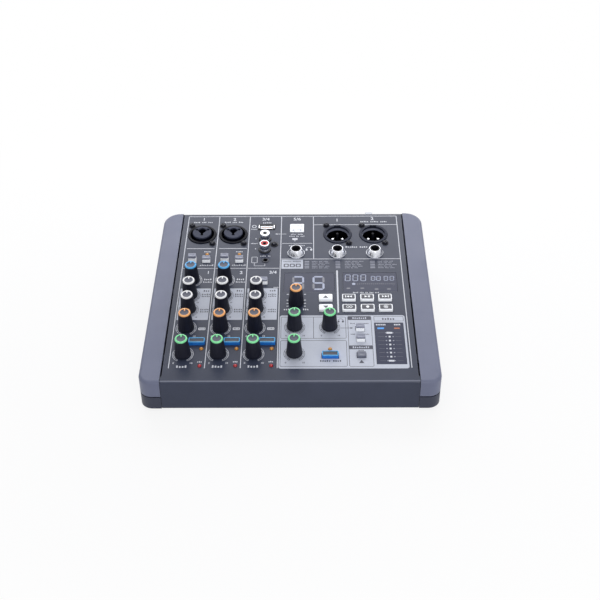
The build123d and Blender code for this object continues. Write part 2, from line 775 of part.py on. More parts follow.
# ---- windows with the display modules under them ----------------------------------
def make_display(window):
    column, row, width, depth = window
    with BuildPart() as pane:
        with BuildSketch(spot((column, row), -window_sink - window_thick)):
            Rectangle(width, depth)
        extrude(amount=window_thick)
    with BuildPart() as module:
        with BuildSketch(spot((column, row), board_top)):
            Rectangle(width - 2 * module_inset, depth - 2 * module_inset)
        extrude(amount=board_depth - window_sink - window_thick)
    return Compound(children=[pane.part.solid(), module.part.solid()])


save(make_display(effects_window), "effects_display")
save(make_display(player_window), "player_display")
save(make_display(meter_window), "level_meter")

# ---- indicator lamps: a dome on a rod, with a spacer on the board -----------------
with BuildPart() as indicator_leds:
    with BuildSketch(panel.offset(board_top)):
        with Locations(*led_places):
            Circle(led_root)
    extrude(amount=board_depth - sheet - 1.0)
    with BuildSketch(panel.offset(-sheet - 1.0)):
        with Locations(*led_places):
            Circle(led_radius)
    extrude(amount=sheet + 1.0 + led_dome)
    tops = indicator_leds.faces().filter_by(panel).sort_by(
        Axis((0, 0, 0), tuple(panel.z_dir))
    )
    domes = [f for f in tops if abs(panel.to_local_coords(f.center()).Z - led_dome) < 0.01]
    fillet([f.edges()[0] for f in domes], radius=led_radius - 0.35)
save(indicator_leds.part, "indicator_leds")


# ---- screws: connector screws on the panel, and the cheek screws inside the pan ---
cross_slot = 0.5                  # width of the driver's cross


def make_screw(plane, head_radius, head_height, shank_radius, shank_length):
    with BuildPart() as screw:
        with BuildSketch(plane):
            Circle(head_radius)
        extrude(amount=head_height)
        fillet(screw.edges().sort_by(Axis(plane.origin, plane.z_dir))[-1], radius=0.6 * head_height)
        with BuildSketch(plane):
            Circle(shank_radius)
        extrude(amount=-shank_length)
        with BuildSketch(plane.offset(head_height)):
            Rectangle(head_radius * 1.2, cross_slot)
            Rectangle(cross_slot, head_radius * 1.2)
        extrude(amount=-0.45 * head_height, mode=Mode.SUBTRACT)
    return screw.part.solid()


panel_screw_length = 5.0
cheek_screw_head = (2.2, 1.4)     # radius, height
screw_solids = []
connector_screw_places = [rca_screw]
for column, row in (*combo_places, *xlr_places):
    connector_screw_places.append((column - flange_screws[0], row + flange_screws[1]))
    connector_screw_places.append((column + flange_screws[0], row - flange_screws[1]))
for place in connector_screw_places:
    screw_solids.append(
        make_screw(spot(place), screw_head_radius, screw_head_height, screw_shank_radius, panel_screw_length)
    )
for side in (-1, 1):
    for y, z in screw_places:
        inner_face = Plane(
            origin=(side * (wall_half - sheet), y, z), x_dir=(0, 1, 0), z_dir=(-side, 0, 0)
        )
        screw_solids.append(
            make_screw(inner_face, *cheek_screw_head, screw_shank_radius, pilot_depth)
        )
save(Compound(children=screw_solids), "screws")

# ---- power inlet: round socket through the rear wall ------------------------------
inlet_body = (9.0, 11.0, 9.0)
inlet_proud = 0.5                 # collar outside the rear wall
with BuildPart() as dc_inlet:
    with BuildSketch(rear_plane.offset(sheet)):
        with Locations((inlet_x, power_z)):
            Rectangle(inlet_body[0], inlet_body[2])
    extrude(amount=inlet_body[1])
    with BuildSketch(rear_plane.offset(sheet)):
        with Locations((inlet_x, power_z)):
            Circle(inlet_radius)
    extrude(amount=-sheet - inlet_proud)
    with BuildSketch(rear_plane.offset(-inlet_proud)):
        with Locations((inlet_x, power_z)):
            Circle(inlet_bore)
    extrude(amount=inlet_depth + inlet_proud, mode=Mode.SUBTRACT)
save(dc_inlet.part, "dc_inlet")
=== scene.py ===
import json
import math

import bmesh
import bpy
from mathutils import Matrix, Vector


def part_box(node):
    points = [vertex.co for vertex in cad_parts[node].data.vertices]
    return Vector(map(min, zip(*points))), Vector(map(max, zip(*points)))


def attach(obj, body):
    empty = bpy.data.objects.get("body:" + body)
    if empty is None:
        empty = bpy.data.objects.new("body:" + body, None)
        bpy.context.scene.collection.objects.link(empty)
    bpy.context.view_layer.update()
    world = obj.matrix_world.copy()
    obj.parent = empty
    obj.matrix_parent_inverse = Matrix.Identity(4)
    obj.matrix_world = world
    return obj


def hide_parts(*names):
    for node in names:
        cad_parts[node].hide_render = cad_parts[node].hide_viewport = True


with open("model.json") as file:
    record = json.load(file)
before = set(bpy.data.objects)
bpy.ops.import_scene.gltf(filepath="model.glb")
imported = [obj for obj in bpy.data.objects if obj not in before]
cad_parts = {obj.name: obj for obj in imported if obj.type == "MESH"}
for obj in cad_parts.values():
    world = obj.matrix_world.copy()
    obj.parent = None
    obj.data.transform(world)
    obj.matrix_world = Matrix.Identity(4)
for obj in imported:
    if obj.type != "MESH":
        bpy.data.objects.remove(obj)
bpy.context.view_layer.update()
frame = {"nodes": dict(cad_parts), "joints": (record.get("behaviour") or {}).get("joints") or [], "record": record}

# The looks of a small desktop mixing console. Pieces are drawn in panel millimetres: column to
# the right, row up the slope from the datum line, height above the paint. One matrix, worked
# out from the frame, takes them to metres in the object's own frame.

MM = 0.001
DATUM_SETBACK = 12.5            # front crease to row 0, along the panel
PRINT = 0.04                    # height of printed ink
ROOT = 0.03                     # how far ink reaches into the paint
JOINTS = {joint["child"]: joint for joint in frame["joints"]}
MOUNTS = {mount["name"]: Vector(mount["pos_m"]) for mount in frame["record"]["mounts"]}
CONSOLE = "console"
LEAST_CORNER = 0.05             # smallest radius of a rounded corner


def panel_frame():
    """Panel millimetres to the object's metres, from a knob's axis and the front crease."""
    joint = JOINTS["main_knob"]
    normal = Vector(joint["axis"]).normalized()
    rows = normal.cross(Vector((1, 0, 0)))
    on_panel = Vector(joint["pos_m"])
    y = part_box("top_cover")[0].y + DATUM_SETBACK * MM * rows.y
    z = on_panel.z + (y - on_panel.y) * rows.z / rows.y
    turn = Matrix(((1, 0, 0), rows, normal)).transposed().to_4x4()
    return Matrix.Translation((0, y, z)) @ turn @ Matrix.Scale(MM, 4)


PANEL = panel_frame()
TO_PANEL = PANEL.inverted()
NORMAL = (PANEL.to_3x3() @ Vector((0, 0, 1))).normalized()


def panel_place(point):
    """Column and row of a point given in the object's metres."""
    local = TO_PANEL @ Vector(point)
    return (local.x, local.y)


def panel_box(node):
    """Lowest and highest corner of a CAD node in panel millimetres."""
    points = [TO_PANEL @ vertex.co for vertex in frame["nodes"][node].data.vertices]
    low = Vector([min(point[i] for point in points) for i in range(3)])
    high = Vector([max(point[i] for point in points) for i in range(3)])
    return low, high


KNOBS = {name: panel_place(joint["pos_m"]) for name, joint in JOINTS.items() if "pos_m" in joint}
CHANNEL_COLUMNS = [KNOBS[f"level_knob_{number}"][0] for number in (1, 2, 3)]


# ---- drawing helpers ----


def rounded(place, size, radius, height, steps=4):
    """Corner points of a rounded rectangle round place."""
    half_u, half_v = size[0] / 2 - radius, size[1] / 2 - radius
    points = []
    for quarter, (side_u, side_v) in enumerate(((1, 1), (-1, 1), (-1, -1), (1, -1))):
        for step in range(steps + 1):
            angle = math.pi / 2 * (quarter + step / steps)
            points.append(Vector((
                place[0] + side_u * half_u + radius * math.cos(angle),
                place[1] + side_v * half_v + radius * math.sin(angle),
                height,
            )))
    return points


def circle(place, radius, height, count=48, flutes=0, depth=0.0):
    """Points of a circle round place, with shallow flutes if asked for."""
    points = []
    for step in range(count):
        angle = 2 * math.pi * step / count
        reach = radius - depth * max(0.0, math.cos(flutes * angle)) if flutes else radius
        points.append(Vector((
            place[0] + reach * math.cos(angle), place[1] + reach * math.sin(angle), height
        )))
    return points


def strip(bm, lower, upper, number):
    """Quads between two loops of equally many points."""
    for i in range(len(lower)):
        j = (i + 1) % len(lower)
        face = bm.faces.new((lower[i], lower[j], upper[j], upper[i]))
        face.material_index = number


def round_strip(bm, loops, number):
    """Quads all round a closed section."""
    for lower, upper in zip(loops, loops[1:] + loops[:1]):
        strip(bm, lower, upper, number)


def skin(bm, rings, bands=0):
    """A closed skin through rings of equally many points, flat at both ends.
    bands is one material number, or one for each step from the first cap to the last."""
    steps = len(rings) + 1
    numbers = [bands] * steps if isinstance(bands, int) else list(bands)
    made = [[bm.verts.new(point) for point in ring] for ring in rings]
    first = bm.faces.new(made[0][::-1])
    first.material_index = numbers[0]
    for lower, upper, number in zip(made, made[1:], numbers[1:]):
        strip(bm, lower, upper, number)
    last = bm.faces.new(made[-1])
    last.material_index = numbers[-1]


def turned(bm, place, profile, bands=0, count=48, flutes=0, depth=0.0):
    """A turned shape: profile is a list of (radius, height), lower end first."""
    rings = [circle(place, radius, height, count, flutes, depth) for radius, height in profile]
    skin(bm, rings, bands)


def ring_of(bm, place, profile, number=0, count=48):
    """A ring with a closed section: profile is a loop of (radius, height)."""
    made = [
        [bm.verts.new(point) for point in circle(place, radius, height, count)]
        for radius, height in profile
    ]
    round_strip(bm, made, number)


def slab(bm, place, size, radius, levels, bands=0):
    """A stack of rounded rectangles: levels is a list of (inset, height), lower end first."""
    raked(bm, place, size, radius, [(inset, 0, height) for inset, height in levels], bands)


def raked(bm, place, size, radius, levels, bands=0):
    """Like slab, with a front that leans back: levels is a list of (inset, setback, height)."""
    rings = []
    for inset, setback, height in levels:
        inner = (size[0] - 2 * inset, size[1] - 2 * inset - setback)
        corner = max(LEAST_CORNER, min(radius - inset, min(inner) / 2 - 0.01))
        rings.append(rounded((place[0], place[1] + setback / 2), inner, corner, height))
    skin(bm, rings, bands)


def prism(bm, corners, levels, number=0):
    """A flat shape with straight sides between two heights."""
    skin(bm, [[Vector((*corner, height)) for corner in corners] for height in levels], number)


def ink_levels(layer=0):
    """Lower and upper height of one layer of ink."""
    return (-ROOT, PRINT * (1 + layer))


def patch(bm, place, size, radius=0.2, layer=0, number=0):
    """A printed rounded rectangle."""
    low, high = ink_levels(layer)
    slab(bm, place, size, radius, [(0, low), (0, high)], number)


def stroke(bm, start, end, width, layer=0, number=0):
    """A printed straight line."""
    a, b = Vector(start), Vector(end)
    along = (b - a).normalized() * width / 2
    across = Vector((-along.y, along.x))
    corners = (a - across, b - across, b + across, a + across)
    prism(bm, corners, ink_levels(layer), number)


def polygon(bm, corners, layer=0, number=0):
    """A printed shape with straight sides."""
    prism(bm, corners, ink_levels(layer), number)


def outline(bm, place, size, radius, width, layer=0, number=0):
    """A printed rounded frame."""
    low, high = ink_levels(layer)
    outer = rounded(place, size, radius, 0)
    inner_size = (size[0] - 2 * width, size[1] - 2 * width)
    inner = rounded(place, inner_size, max(LEAST_CORNER, radius - width), 0)
    loops = []
    for loop, height in ((outer, low), (outer, high), (inner, high), (inner, low)):
        loops.append([bm.verts.new((point.x, point.y, height)) for point in loop])
    round_strip(bm, loops, number)


def arc_band(bm, centre, radius, width, start, end, layer=0, number=0, steps=20):
    """A printed arc, its angles in degrees."""
    low, high = ink_levels(layer)
    sections = []
    for step in range(steps + 1):
        angle = math.radians(start + (end - start) * step / steps)
        section = []
        for reach, height in (
            (radius - width / 2, low), (radius + width / 2, low),
            (radius + width / 2, high), (radius - width / 2, high),
        ):
            section.append(Vector((
                centre[0] + reach * math.cos(angle), centre[1] + reach * math.sin(angle), height
            )))
        sections.append(section)
    skin(bm, sections, number)


def add_mesh(bm, mesh, number=0):
    """Adds a finished mesh to a piece, all in one material."""
    known = len(bm.faces)
    bm.from_mesh(mesh)
    bm.faces.ensure_lookup_table()
    for face in bm.faces[known:]:
        face.material_index = number
    bpy.data.meshes.remove(mesh)


def new_object(name, data):
    """An object in the scene."""
    made = bpy.data.objects.new(name, data)
    bpy.context.scene.collection.objects.link(made)
    return made


def baked_mesh(holder):
    """The mesh of an object as its modifiers and settings leave it."""
    graph = bpy.context.evaluated_depsgraph_get()
    return bpy.data.meshes.new_from_object(holder.evaluated_get(graph))


def flat_mesh(curve, height):
    """The mesh of a flat curve or a text, moved up to its height."""
    holder = new_object(curve.name, curve)
    mesh = baked_mesh(holder)
    bpy.data.objects.remove(holder)
    mesh.transform(Matrix.Translation((0, 0, height)))
    return mesh


def numeral(bm, text, place, size, layer=0, number=0, weight=0.02):
    """A plain printed number."""
    low, high = ink_levels(layer)
    curve = bpy.data.curves.new("numeral", "FONT")
    curve.body = text
    curve.size = size
    curve.align_x = "CENTER"
    curve.align_y = "CENTER"
    curve.offset = weight * size
    curve.resolution_u = 3
    curve.extrude = (high - low) / 2
    mesh = flat_mesh(curve, (high + low) / 2)
    mesh.transform(Matrix.Translation((place[0], place[1], 0)))
    add_mesh(bm, mesh, number)


def end_numbers(bm, place, reach, drop, size, layer=0):
    """The 0 and the 10 at the ends of a knob's scale: reach is how far left and right they stand."""
    numeral(bm, "0", (place[0] - reach[0], place[1] - drop), size, layer)
    numeral(bm, "10", (place[0] + reach[1], place[1] - drop), size, layer)


def cut_sheet(bm, outlines, layer=0, number=0):
    """A printed sheet: the first outline is its edge, the others are holes in it."""
    low, high = ink_levels(layer)
    curve = bpy.data.curves.new("sheet", "CURVE")
    curve.dimensions = "2D"
    curve.fill_mode = "BOTH"
    curve.extrude = (high - low) / 2
    for points in outlines:
        spline = curve.splines.new("POLY")
        spline.points.add(len(points) - 1)
        for target, point in zip(spline.points, points):
            target.co = (point.x, point.y, 0, 1)
        spline.use_cyclic_u = True
    add_mesh(bm, flat_mesh(curve, (high + low) / 2), number)


def legend(bm, place, width, height, number=0, layer=0, words=1):
    """A row of small plain blocks that stands where a printed word would be."""
    pitch = 0.86 * height
    count = max(1, round(width / pitch))
    tall = (1.0, 0.72, 0.72, 0.95, 0.72, 0.86)
    gaps = {round(count * word / words) for word in range(1, words)}
    for i in range(count):
        if i in gaps:
            continue
        rise = tall[(i * 5 + round(place[0])) % len(tall)] * height
        u = place[0] - width / 2 + pitch * (i + 0.5)
        v = place[1] - height / 2 + rise / 2
        patch(bm, (u, v), (0.6 * pitch, rise), 0.12 * height, layer, number)


def legends(bm, rows, shift=0.0, layer=0):
    """Several legends: each is (column, row, width, height) and, if it has them, its words."""
    for column, row, width, height, *words in rows:
        legend(bm, (shift + column, row), width, height, layer=layer, words=words[0] if words else 1)


# ---- turning a drawing into a piece ----


def closed_mesh(name, bm):
    """Ends a drawing and gives its mesh."""
    mesh = bpy.data.meshes.new(name)
    bm.to_mesh(mesh)
    bm.free()
    return mesh


def add_piece(name, mesh, body, materials, smooth=35):
    """An object at the origin, with its place in its mesh, riding on its body."""
    for material in materials:
        mesh.materials.append(material)
    mesh.polygons.foreach_set("use_smooth", [True] * len(mesh.polygons))
    mesh.set_sharp_from_angle(angle=math.radians(smooth))
    made = new_object(name, mesh)
    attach(made, body)
    return made


def piece(name, bm, body, slot, *materials, smooth=35):
    """Closes a drawing in panel millimetres and makes it a piece."""
    bmesh.ops.remove_doubles(bm, verts=bm.verts, dist=1e-5)
    bmesh.ops.recalc_face_normals(bm, faces=bm.faces)
    bm.transform(PANEL)
    return add_piece(name, closed_mesh(name, bm), body, materials, smooth)


# ---- effects shared by the materials ----


def shade(red, green, blue):
    """A swatch in steps of 0 to 255, as linear light."""
    linear = []
    for step in (red, green, blue):
        value = step / 255
        linear.append(value / 12.92 if value <= 0.04045 else ((value + 0.055) / 1.055) ** 2.4)
    return (*linear, 1.0)


FIRST, SECOND, MIXED = 6, 7, 2    # a colour mix's two inputs and its output


def wire(tree, *links):
    """Joins sockets: each link is (from node, output, to node, input)."""
    for source, output, target, entry in links:
        tree.links.new(source.outputs[output], target.inputs[entry])


def preset(node, **values):
    """Sets unlinked inputs by name."""
    for name, value in values.items():
        node.inputs[name.replace("_", " ")].default_value = value
    return node


def add_node(tree, kind, **values):
    node = tree.nodes.new(kind)
    for name, value in values.items():
        setattr(node, name, value)
    return node


def noise_field(tree, **values):
    """Noise that stays put on the object."""
    noise = preset(add_node(tree, "ShaderNodeTexNoise"), **values)
    wire(tree, (add_node(tree, "ShaderNodeTexCoord"), "Object", noise, "Vector"))
    return noise


def effect_group(name, inputs, outputs):
    """An empty shader group: inputs are (name, kind, value), outputs are (name, kind)."""
    tree = bpy.data.node_groups.new(name, "ShaderNodeTree")
    for label, kind, value in inputs:
        socket = tree.interface.new_socket(label, in_out="INPUT", socket_type=kind)
        socket.default_value = value
    for label, kind in outputs:
        tree.interface.new_socket(label, in_out="OUTPUT", socket_type=kind)
    return tree, add_node(tree, "NodeGroupInput"), add_node(tree, "NodeGroupOutput")


def two_tone_group():
    """Soft patches of a second colour over the first."""
    tree, given, result = effect_group(
        "two_tone",
        [("Colour", "NodeSocketColor", (0.5, 0.5, 0.5, 1)),
         ("Second Colour", "NodeSocketColor", (0.4, 0.4, 0.4, 1)),
         ("Scale", "NodeSocketFloat", 80.0)],
        [("Colour", "NodeSocketColor")],
    )
    noise = noise_field(tree, Detail=6.0, Roughness=0.62)
    span = preset(add_node(tree, "ShaderNodeMapRange"), From_Min=0.3, From_Max=0.7)
    mix = add_node(tree, "ShaderNodeMix", data_type="RGBA")
    wire(tree, (given, "Scale", noise, "Scale"), (noise, "Fac", span, "Value"),
               (span, "Result", mix, 0), (given, "Colour", mix, FIRST),
               (given, "Second Colour", mix, SECOND), (mix, MIXED, result, "Colour"))
    return tree


def relief_group():
    """Fine grain on a surface whose sharp edges look slightly rounded."""
    tree, given, result = effect_group(
        "relief",
        [("Scale", "NodeSocketFloat", 3000.0),
         ("Depth", "NodeSocketFloat", 0.00002),
         ("Edge Radius", "NodeSocketFloat", 0.0002)],
        [("Normal", "NodeSocketVector")],
    )
    noise = noise_field(tree, Detail=3.0)
    edge = add_node(tree, "ShaderNodeBevel", samples=4)
    bump = preset(add_node(tree, "ShaderNodeBump"), Strength=1.0)
    wire(tree, (given, "Scale", noise, "Scale"),
               (given, "Depth", bump, "Distance"), (given, "Edge Radius", edge, "Radius"),
               (noise, "Fac", bump, "Height"), (edge, "Normal", bump, "Normal"),
               (bump, "Normal", result, "Normal"))
    return tree


def edge_mask_group():
    """1 along sharp edges, broken up by noise, 0 on flat ground."""
    tree, given, result = effect_group(
        "edge_mask",
        [("Radius", "NodeSocketFloat", 0.0005), ("Gain", "NodeSocketFloat", 2.0)],
        [("Mask", "NodeSocketFloat")],
    )
    edge = add_node(tree, "ShaderNodeBevel", samples=4)
    shape = add_node(tree, "ShaderNodeNewGeometry")
    dot = add_node(tree, "ShaderNodeVectorMath", operation="DOT_PRODUCT")
    turn = add_node(tree, "ShaderNodeMath", operation="SUBTRACT")
    turn.inputs[0].default_value = 1.0
    gain = add_node(tree, "ShaderNodeMath", operation="MULTIPLY")
    noise = noise_field(tree, Scale=260.0, Detail=5.0)
    broken = add_node(tree, "ShaderNodeMath", operation="MULTIPLY", use_clamp=True)
    wire(tree, (given, "Radius", edge, "Radius"), (edge, "Normal", dot, 0), (shape, "Normal", dot, 1),
               (dot, "Value", turn, 1), (turn, 0, gain, 0), (given, "Gain", gain, 1),
               (gain, 0, broken, 0), (noise, "Fac", broken, 1),
               (broken, 0, result, "Mask"))
    return tree


def gloss_range_group():
    """Roughness that drifts between two values, as handled surfaces do."""
    tree, given, result = effect_group(
        "gloss_range",
        [("Low", "NodeSocketFloat", 0.4), ("High", "NodeSocketFloat", 0.5),
         ("Scale", "NodeSocketFloat", 40.0)],
        [("Roughness", "NodeSocketFloat")],
    )
    noise = noise_field(tree, Detail=4.0)
    span = preset(add_node(tree, "ShaderNodeMapRange"), From_Min=0.35, From_Max=0.65)
    wire(tree, (given, "Scale", noise, "Scale"),
               (noise, "Fac", span, "Value"), (given, "Low", span, "To Min"),
               (given, "High", span, "To Max"), (span, "Result", result, "Roughness"))
    return tree


def panel_depth_group():
    """1 above a height over the panel, 0 below it, with a soft step."""
    tree, given, result = effect_group(
        "panel_depth",
        [("Height", "NodeSocketFloat", 0.0), ("Softness", "NodeSocketFloat", 0.0002)],
        [("Mask", "NodeSocketFloat")],
    )
    where = add_node(tree, "ShaderNodeTexCoord")
    along = add_node(tree, "ShaderNodeVectorMath", operation="DOT_PRODUCT")
    along.inputs[1].default_value = NORMAL
    above = add_node(tree, "ShaderNodeMath", operation="SUBTRACT")
    above.inputs[1].default_value = (PANEL @ Vector((0, 0, 0))).dot(NORMAL)
    rest = add_node(tree, "ShaderNodeMath", operation="SUBTRACT")
    step = add_node(tree, "ShaderNodeMath", operation="DIVIDE", use_clamp=True)
    wire(tree, (where, "Object", along, 0), (along, "Value", above, 0), (above, 0, rest, 0),
               (given, "Height", rest, 1), (rest, 0, step, 0), (given, "Softness", step, 1),
               (step, 0, result, "Mask"))
    return tree


def bend_highlight_mask_group():
    """1 on the upper half of a bend that turns down to the front, 0 on flat ground: where the painted highlight on
    the front bend goes.
    """
    tree, given, result = effect_group(
        "bend_highlight_mask",
        [("Start", "NodeSocketFloat", 0.12), ("End", "NodeSocketFloat", 0.72)],
        [("Mask", "NodeSocketFloat")],
    )
    shape = add_node(tree, "ShaderNodeNewGeometry")
    lean = add_node(tree, "ShaderNodeVectorMath", operation="DOT_PRODUCT")
    lean.inputs[1].default_value = (0, -1, 0)
    rise = add_node(tree, "ShaderNodeMapRange")
    fall = add_node(tree, "ShaderNodeMapRange")
    preset(rise, From_Max=0.3)
    preset(fall, From_Min=0.5, To_Min=1.0, To_Max=0.0)
    both = add_node(tree, "ShaderNodeMath", operation="MULTIPLY")
    wire(tree, (shape, "Normal", lean, 0), (lean, "Value", rise, "Value"),
               (lean, "Value", fall, "Value"), (given, "Start", rise, "From Min"),
               (given, "End", fall, "From Max"), (rise, "Result", both, 0), (fall, "Result", both, 1),
               (both, 0, result, "Mask"))
    return tree


TWO_TONE = two_tone_group()
RELIEF = relief_group()
EDGE_MASK = edge_mask_group()
GLOSS_RANGE = gloss_range_group()
PANEL_DEPTH = panel_depth_group()
BEND_HIGHLIGHT_MASK = bend_highlight_mask_group()


def use_group(tree, group, **values):
    return preset(add_node(tree, "ShaderNodeGroup", node_tree=group), **values)


def new_material(name):
    material = bpy.data.materials.new(name)
    material.use_nodes = True
    tree = material.node_tree
    return material, tree, tree.nodes["Principled BSDF"]


def put_grain(tree, shader, rough, grain, edge, **drift):
    """Drifting gloss, fine grain (scale, depth) and soft edges."""
    gloss = use_group(tree, GLOSS_RANGE, Low=rough[0], High=rough[1], **drift)
    relief = use_group(tree, RELIEF, Scale=grain[0], Depth=grain[1], Edge_Radius=edge)
    wire(tree, (gloss, "Roughness", shader, "Roughness"), (relief, "Normal", shader, "Normal"))


def finish(name, colour, second, rough=(0.4, 0.5), tone_scale=80.0, grain=(3000.0, 0.00001),
           edge=0.0002, wear_and_highlight=None, metallic=0.0, coat=0.0, specular=0.5):
    """A material with two tones, drifting gloss, fine grain, soft edges and pale edges: wear on some finishes,
    painted highlights and glints on others.
    """
    material, tree, shader = new_material(name)
    preset(shader, Metallic=metallic, Coat_Weight=coat, Coat_Roughness=0.08,
                   Specular_IOR_Level=specular)
    tone = use_group(tree, TWO_TONE, Colour=colour, Second_Colour=second, Scale=tone_scale)
    put_grain(tree, shader, rough, grain, edge)
    if wear_and_highlight is None:
        wire(tree, (tone, "Colour", shader, "Base Color"))
        return material
    edge_wear_and_highlight_colour, radius, gain = wear_and_highlight
    edge_wear_and_highlight_mask = use_group(tree, EDGE_MASK, Radius=radius, Gain=gain)
    mix = add_node(tree, "ShaderNodeMix", data_type="RGBA")
    mix.inputs[SECOND].default_value = edge_wear_and_highlight_colour
    wire(tree, (edge_wear_and_highlight_mask, "Mask", mix, 0), (tone, "Colour", mix, FIRST), (mix, MIXED, shader, "Base Color"))
    return material


def depth_shaded(name, above, below, height, rough=(0.4, 0.5), softness=0.0002):
    """Moulded plastic that is one colour above a height over the panel and another below it: the paler upper
    colour is painted light and reflection on the dark plastic, the dark lower one painted shade in the hollows.
    """
    material, tree, shader = new_material(name)
    preset(shader, Specular_IOR_Level=0.1)
    mask = use_group(tree, PANEL_DEPTH, Height=height, Softness=softness)
    upper = use_group(tree, TWO_TONE, Colour=above[0], Second_Colour=above[1], Scale=140.0)
    lower = use_group(tree, TWO_TONE, Colour=below[0], Second_Colour=below[1], Scale=140.0)
    mix = add_node(tree, "ShaderNodeMix", data_type="RGBA")
    put_grain(tree, shader, rough, (3500.0, 0.00001), 0.0002)
    wire(tree, (mask, "Mask", mix, 0), (lower, "Colour", mix, FIRST), (upper, "Colour", mix, SECOND),
               (mix, MIXED, shader, "Base Color"))
    return material


# ---- the console's finishes ----


def painted_steel():
    """Satin paint with a painted highlight, a paler colour along the upper half of the front bend. Its pale edges
    are partly wear and partly a painted highlight on sharp edges.
    """
    material = finish("painted_steel", shade(57, 63, 83), shade(51, 57, 76), rough=(0.3, 0.38),
                      tone_scale=45.0, grain=(2600.0, 0.000006), edge=0.0004, specular=0.3,
                      wear_and_highlight=(shade(150, 152, 165), 0.0008, 1.2))
    tree = material.node_tree
    shader = tree.nodes["Principled BSDF"]
    plain = shader.inputs["Base Color"].links[0].from_socket
    # Painted highlight: a paler colour laid over the upper half of the front bend.
    bend = use_group(tree, BEND_HIGHLIGHT_MASK)
    mix = add_node(tree, "ShaderNodeMix", data_type="RGBA")
    mix.inputs[SECOND].default_value = shade(122, 126, 142)
    tree.links.new(plain, mix.inputs[FIRST])
    wire(tree, (bend, "Mask", mix, 0), (mix, MIXED, shader, "Base Color"))
    return material


def galvanised_steel():
    """Zinc-coated sheet with its crystal pattern."""
    material, tree, shader = new_material("galvanised_steel")
    where = add_node(tree, "ShaderNodeTexCoord")
    crystals = preset(add_node(tree, "ShaderNodeTexVoronoi", feature="F1"), Scale=130.0)
    mix = add_node(tree, "ShaderNodeMix", data_type="RGBA")
    mix.inputs[FIRST].default_value = shade(150, 154, 158)
    mix.inputs[SECOND].default_value = shade(184, 188, 192)
    put_grain(tree, shader, (0.3, 0.48), (900.0, 0.000008), 0.0002, Scale=90.0)
    preset(shader, Metallic=0.85)
    wire(tree, (where, "Object", crystals, "Vector"), (crystals, "Color", mix, 0),
               (mix, MIXED, shader, "Base Color"))
    return material


def lamp_glow_and_painted_light(material, strength):
    """Makes a material glow with a little of its own colour: real light in lit lenses, painted light in the knob
    rings and white caps, which are no lamps.
    """
    tree = material.node_tree
    shader = tree.nodes["Principled BSDF"]
    tone = next(node for node in tree.nodes if node.type == "GROUP" and node.node_tree == TWO_TONE)
    wire(tree, (tone, "Colour", shader, "Emission Color"))
    preset(shader, Emission_Strength=strength)
    return material


def ring_plastic(name, colour, second):
    material = finish(name, colour, second, rough=(0.22, 0.32), tone_scale=260.0,
                      grain=(1800.0, 0.000004), edge=0.0002, coat=0.25)
    # Painted light: the rings glow faintly, though they are no lamps.
    return lamp_glow_and_painted_light(material, 0.06)


def cap_plastic(name, colour, second, rough=(0.3, 0.4)):
    return finish(name, colour, second, rough=rough, tone_scale=180.0,
                  grain=(3000.0, 0.000006), edge=0.00025)


def printed_ink(name, colour, second):
    return finish(name, colour, second, rough=(0.45, 0.58), tone_scale=500.0,
                  grain=(3600.0, 0.000006), edge=0.00002)


def lamp_lens(name, colour, second, glow=0.0):
    """A tinted lens: light from inside is brightest where the fill is thin."""
    material = finish(name, colour, second, rough=(0.12, 0.2), tone_scale=600.0,
                      grain=(900.0, 0.000002), edge=0.0001, coat=0.3)
    return lamp_glow_and_painted_light(material, glow)


PAINT = painted_steel()
CHEEK = finish("cheek_moulding", shade(112, 117, 141), shade(105, 110, 134), rough=(0.38, 0.48),
               specular=0.4, tone_scale=30.0, grain=(2200.0, 0.000016), edge=0.0004,
               wear_and_highlight=(shade(165, 168, 185), 0.0008, 1.0))
BASE = finish("base_moulding", shade(57, 61, 79), shade(50, 54, 71), specular=0.35, rough=(0.45, 0.55),
              tone_scale=60.0, grain=(2200.0, 0.00002), edge=0.0003)
ZINC = galvanised_steel()
KNOB = finish("knob_rubber", shade(19, 21, 38), shade(14, 16, 30), specular=0.35, rough=(0.42, 0.56),
              tone_scale=160.0, grain=(5200.0, 0.000018), edge=0.00025,
              wear_and_highlight=(shade(70, 72, 88), 0.0004, 0.9))
KNOB_FACE = finish("knob_cap_face", shade(66, 70, 90), shade(58, 62, 82), rough=(0.35, 0.45),
                   tone_scale=220.0, grain=(4200.0, 0.00001), edge=0.0001)
RINGS = {
    "ring_white": ring_plastic("ring_white", shade(250, 250, 252), shade(244, 245, 248)),
    "ring_blue": ring_plastic("ring_blue", shade(84, 180, 240), shade(70, 164, 230)),
    "ring_green": ring_plastic("ring_green", shade(136, 238, 168), shade(122, 226, 154)),
    "ring_orange": ring_plastic("ring_orange", shade(254, 186, 116), shade(248, 168, 96)),
}
CAP_GREY = cap_plastic("cap_grey", shade(142, 146, 166), shade(134, 138, 158))
CAP_DARK = cap_plastic("cap_dark", shade(60, 62, 76), shade(54, 56, 70))
CAP_SLATE = cap_plastic("cap_slate", shade(112, 116, 134), shade(104, 108, 126))
CAP_PALE = cap_plastic("cap_pale", shade(206, 210, 220), shade(198, 202, 213))
# Painted light: the white plastic of caps, keys, port tongues, liner and phono insert glows faintly, though it is
# no lamp.
CAP_WHITE = lamp_glow_and_painted_light(cap_plastic("cap_white", shade(246, 249, 254), shade(240, 243, 250)), 0.16)
BUTTON_BLUE = cap_plastic("button_blue", shade(38, 132, 232), shade(28, 118, 222), (0.2, 0.3))
